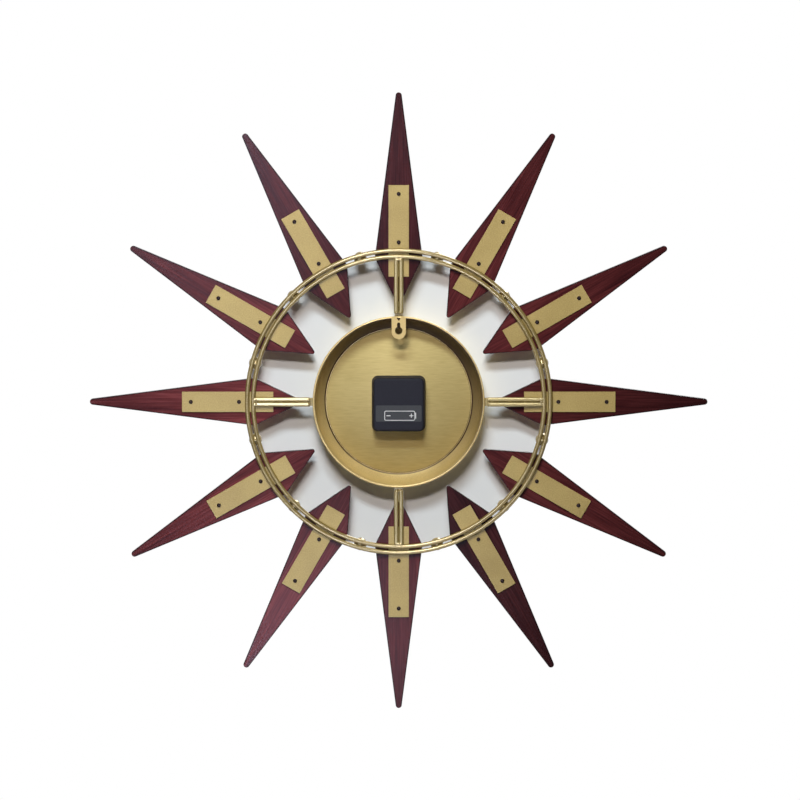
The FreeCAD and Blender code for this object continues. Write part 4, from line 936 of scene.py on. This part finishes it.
def addCard():                         # it shows from the wall's side alone
    card, tree, shader = addDisc("card")
    side = addNode(tree, "ShaderNodeNewGeometry")
    clear = addNode(tree, "ShaderNodeBsdfTransparent")
    oneSided = addNode(tree, "ShaderNodeMixShader", None, {
        0: side.outputs["Backfacing"], 1: shader.outputs[0], 2: clear.outputs[0]})
    tree.links.new(oneSided.outputs[0], tree.nodes["Material Output"].inputs["Surface"])
    card.visible_shadow = False        # it only takes shadows
    card.visible_diffuse = False
    card.visible_glossy = False


studio = {
    "roomTop": 0.04,               # light of the room from above, and from below
    "roomBottom": 0.01,
    "roomColour": "#FFE2D2",
    "mirroredFront": 0.10,         # what glossy parts mirror from the side of the lamps
    "frontEdge": (-0.7, -0.2),     # along Y of a ray, where white fades to that
    # direction from the clock, distance, width, height, power, colour
    "lamps": {
        "upperLamp": ((0.14, 1.0, 1.09), 2.6, 1.3, 0.34, 43.2, "#EFF9FF"),
        "lowerLamp": ((0.10, 1.0, 0.62), 2.3, 0.7, 0.24, 21.6, "#FFF3EB"),  # warms the shadows
        "dialLamp": ((-0.5, -1.0, 0.9), 2.4, 1.1, 0.7, 46, "#FFFFFF"),
    },
    # the same, without colour, for boards that only give gloss its sheen
    "reflectors": {
        "upperReflector": ((0.21, 1.0, 0.18), 1.5, 0.55, 0.55, 6.8),
        "lowerReflector": ((0.09, 1.0, -0.32), 1.5, 0.4, 0.36, 4.0),
        "leftReflector": ((0.62, 1.0, -0.1), 1.6, 0.2, 0.6, 3.4),
        "rightReflector": ((-0.62, 1.0, -0.1), 1.6, 0.2, 0.6, 1.0),
        "upperWindow": ((0.20, 1.0, 0.28), 1.5, 0.12, 0.12, 1.6),
        "lowerWindow": ((0.21, 1.0, -0.43), 1.55, 0.2, 0.16, 3.0),
    },
    "reflectorColour": "#D8E0FF",  # daylight, cooler than the lamps
}


def addLamp(name, towards, distance, width, height, power, colour):
    direction = Vector(towards).normalized()
    data = bpy.data.lights.new(name, "AREA")
    data.shape = "ELLIPSE"
    data.size = width
    data.size_y = height
    data.energy = power
    data.color = hexColour(colour)[:3]
    lamp = bpy.data.objects.new(name, data)
    lamp.location = direction * distance
    lamp.rotation_euler = (-direction).to_track_quat("-Z", "Y").to_euler()
    bpy.context.collection.objects.link(lamp)
    return lamp


def addRoom():
    world = bpy.data.worlds.new("room")
    bpy.context.scene.world = world
    world.use_nodes = True
    tree = world.node_tree
    ray, clear, seen = paleRays(tree)
    coords = addNode(tree, "ShaderNodeTexCoord")
    place = addNode(tree, "ShaderNodeSeparateXYZ", None, {0: coords.outputs["Generated"]})
    room = addNode(tree, "ShaderNodeMapRange", {
        "From Min": -1.0, "From Max": 1.0, "To Min": studio["roomBottom"],
        "To Max": studio["roomTop"]}, {"Value": place.outputs[2]})
    backdrop = addNode(tree, "ShaderNodeMapRange", {
        "From Min": studio["frontEdge"][0], "From Max": studio["frontEdge"][1],
        "To Min": 1.0, "To Max": studio["mirroredFront"]}, {"Value": place.outputs[1]})
    mirrored = addNode(tree, "ShaderNodeMix", {"data_type": "FLOAT"}, {
        0: ray.outputs["Is Glossy Ray"], 2: room.outputs[0], 3: backdrop.outputs[0]})
    level = addNode(tree, "ShaderNodeMix", {"data_type": "FLOAT", 3: 1.0},
                    {0: clear.outputs[0], 2: mirrored.outputs[0]})
    colour = addNode(tree, "ShaderNodeMix", {
        "data_type": "RGBA", 6: hexColour(studio["roomColour"]), 7: (1, 1, 1, 1)},
        {0: seen.outputs[0]})
    background = tree.nodes["Background"]
    tree.links.new(colour.outputs[2], background.inputs["Color"])
    tree.links.new(level.outputs[0], background.inputs["Strength"])


addFloor()
addCard()
for name, lamp in studio["lamps"].items():
    addLamp(name, *lamp)
for name, reflector in studio["reflectors"].items():
    board = addLamp(name, *reflector, studio["reflectorColour"])
    board.visible_diffuse = False
addRoom()
print("stage and lights are ready")
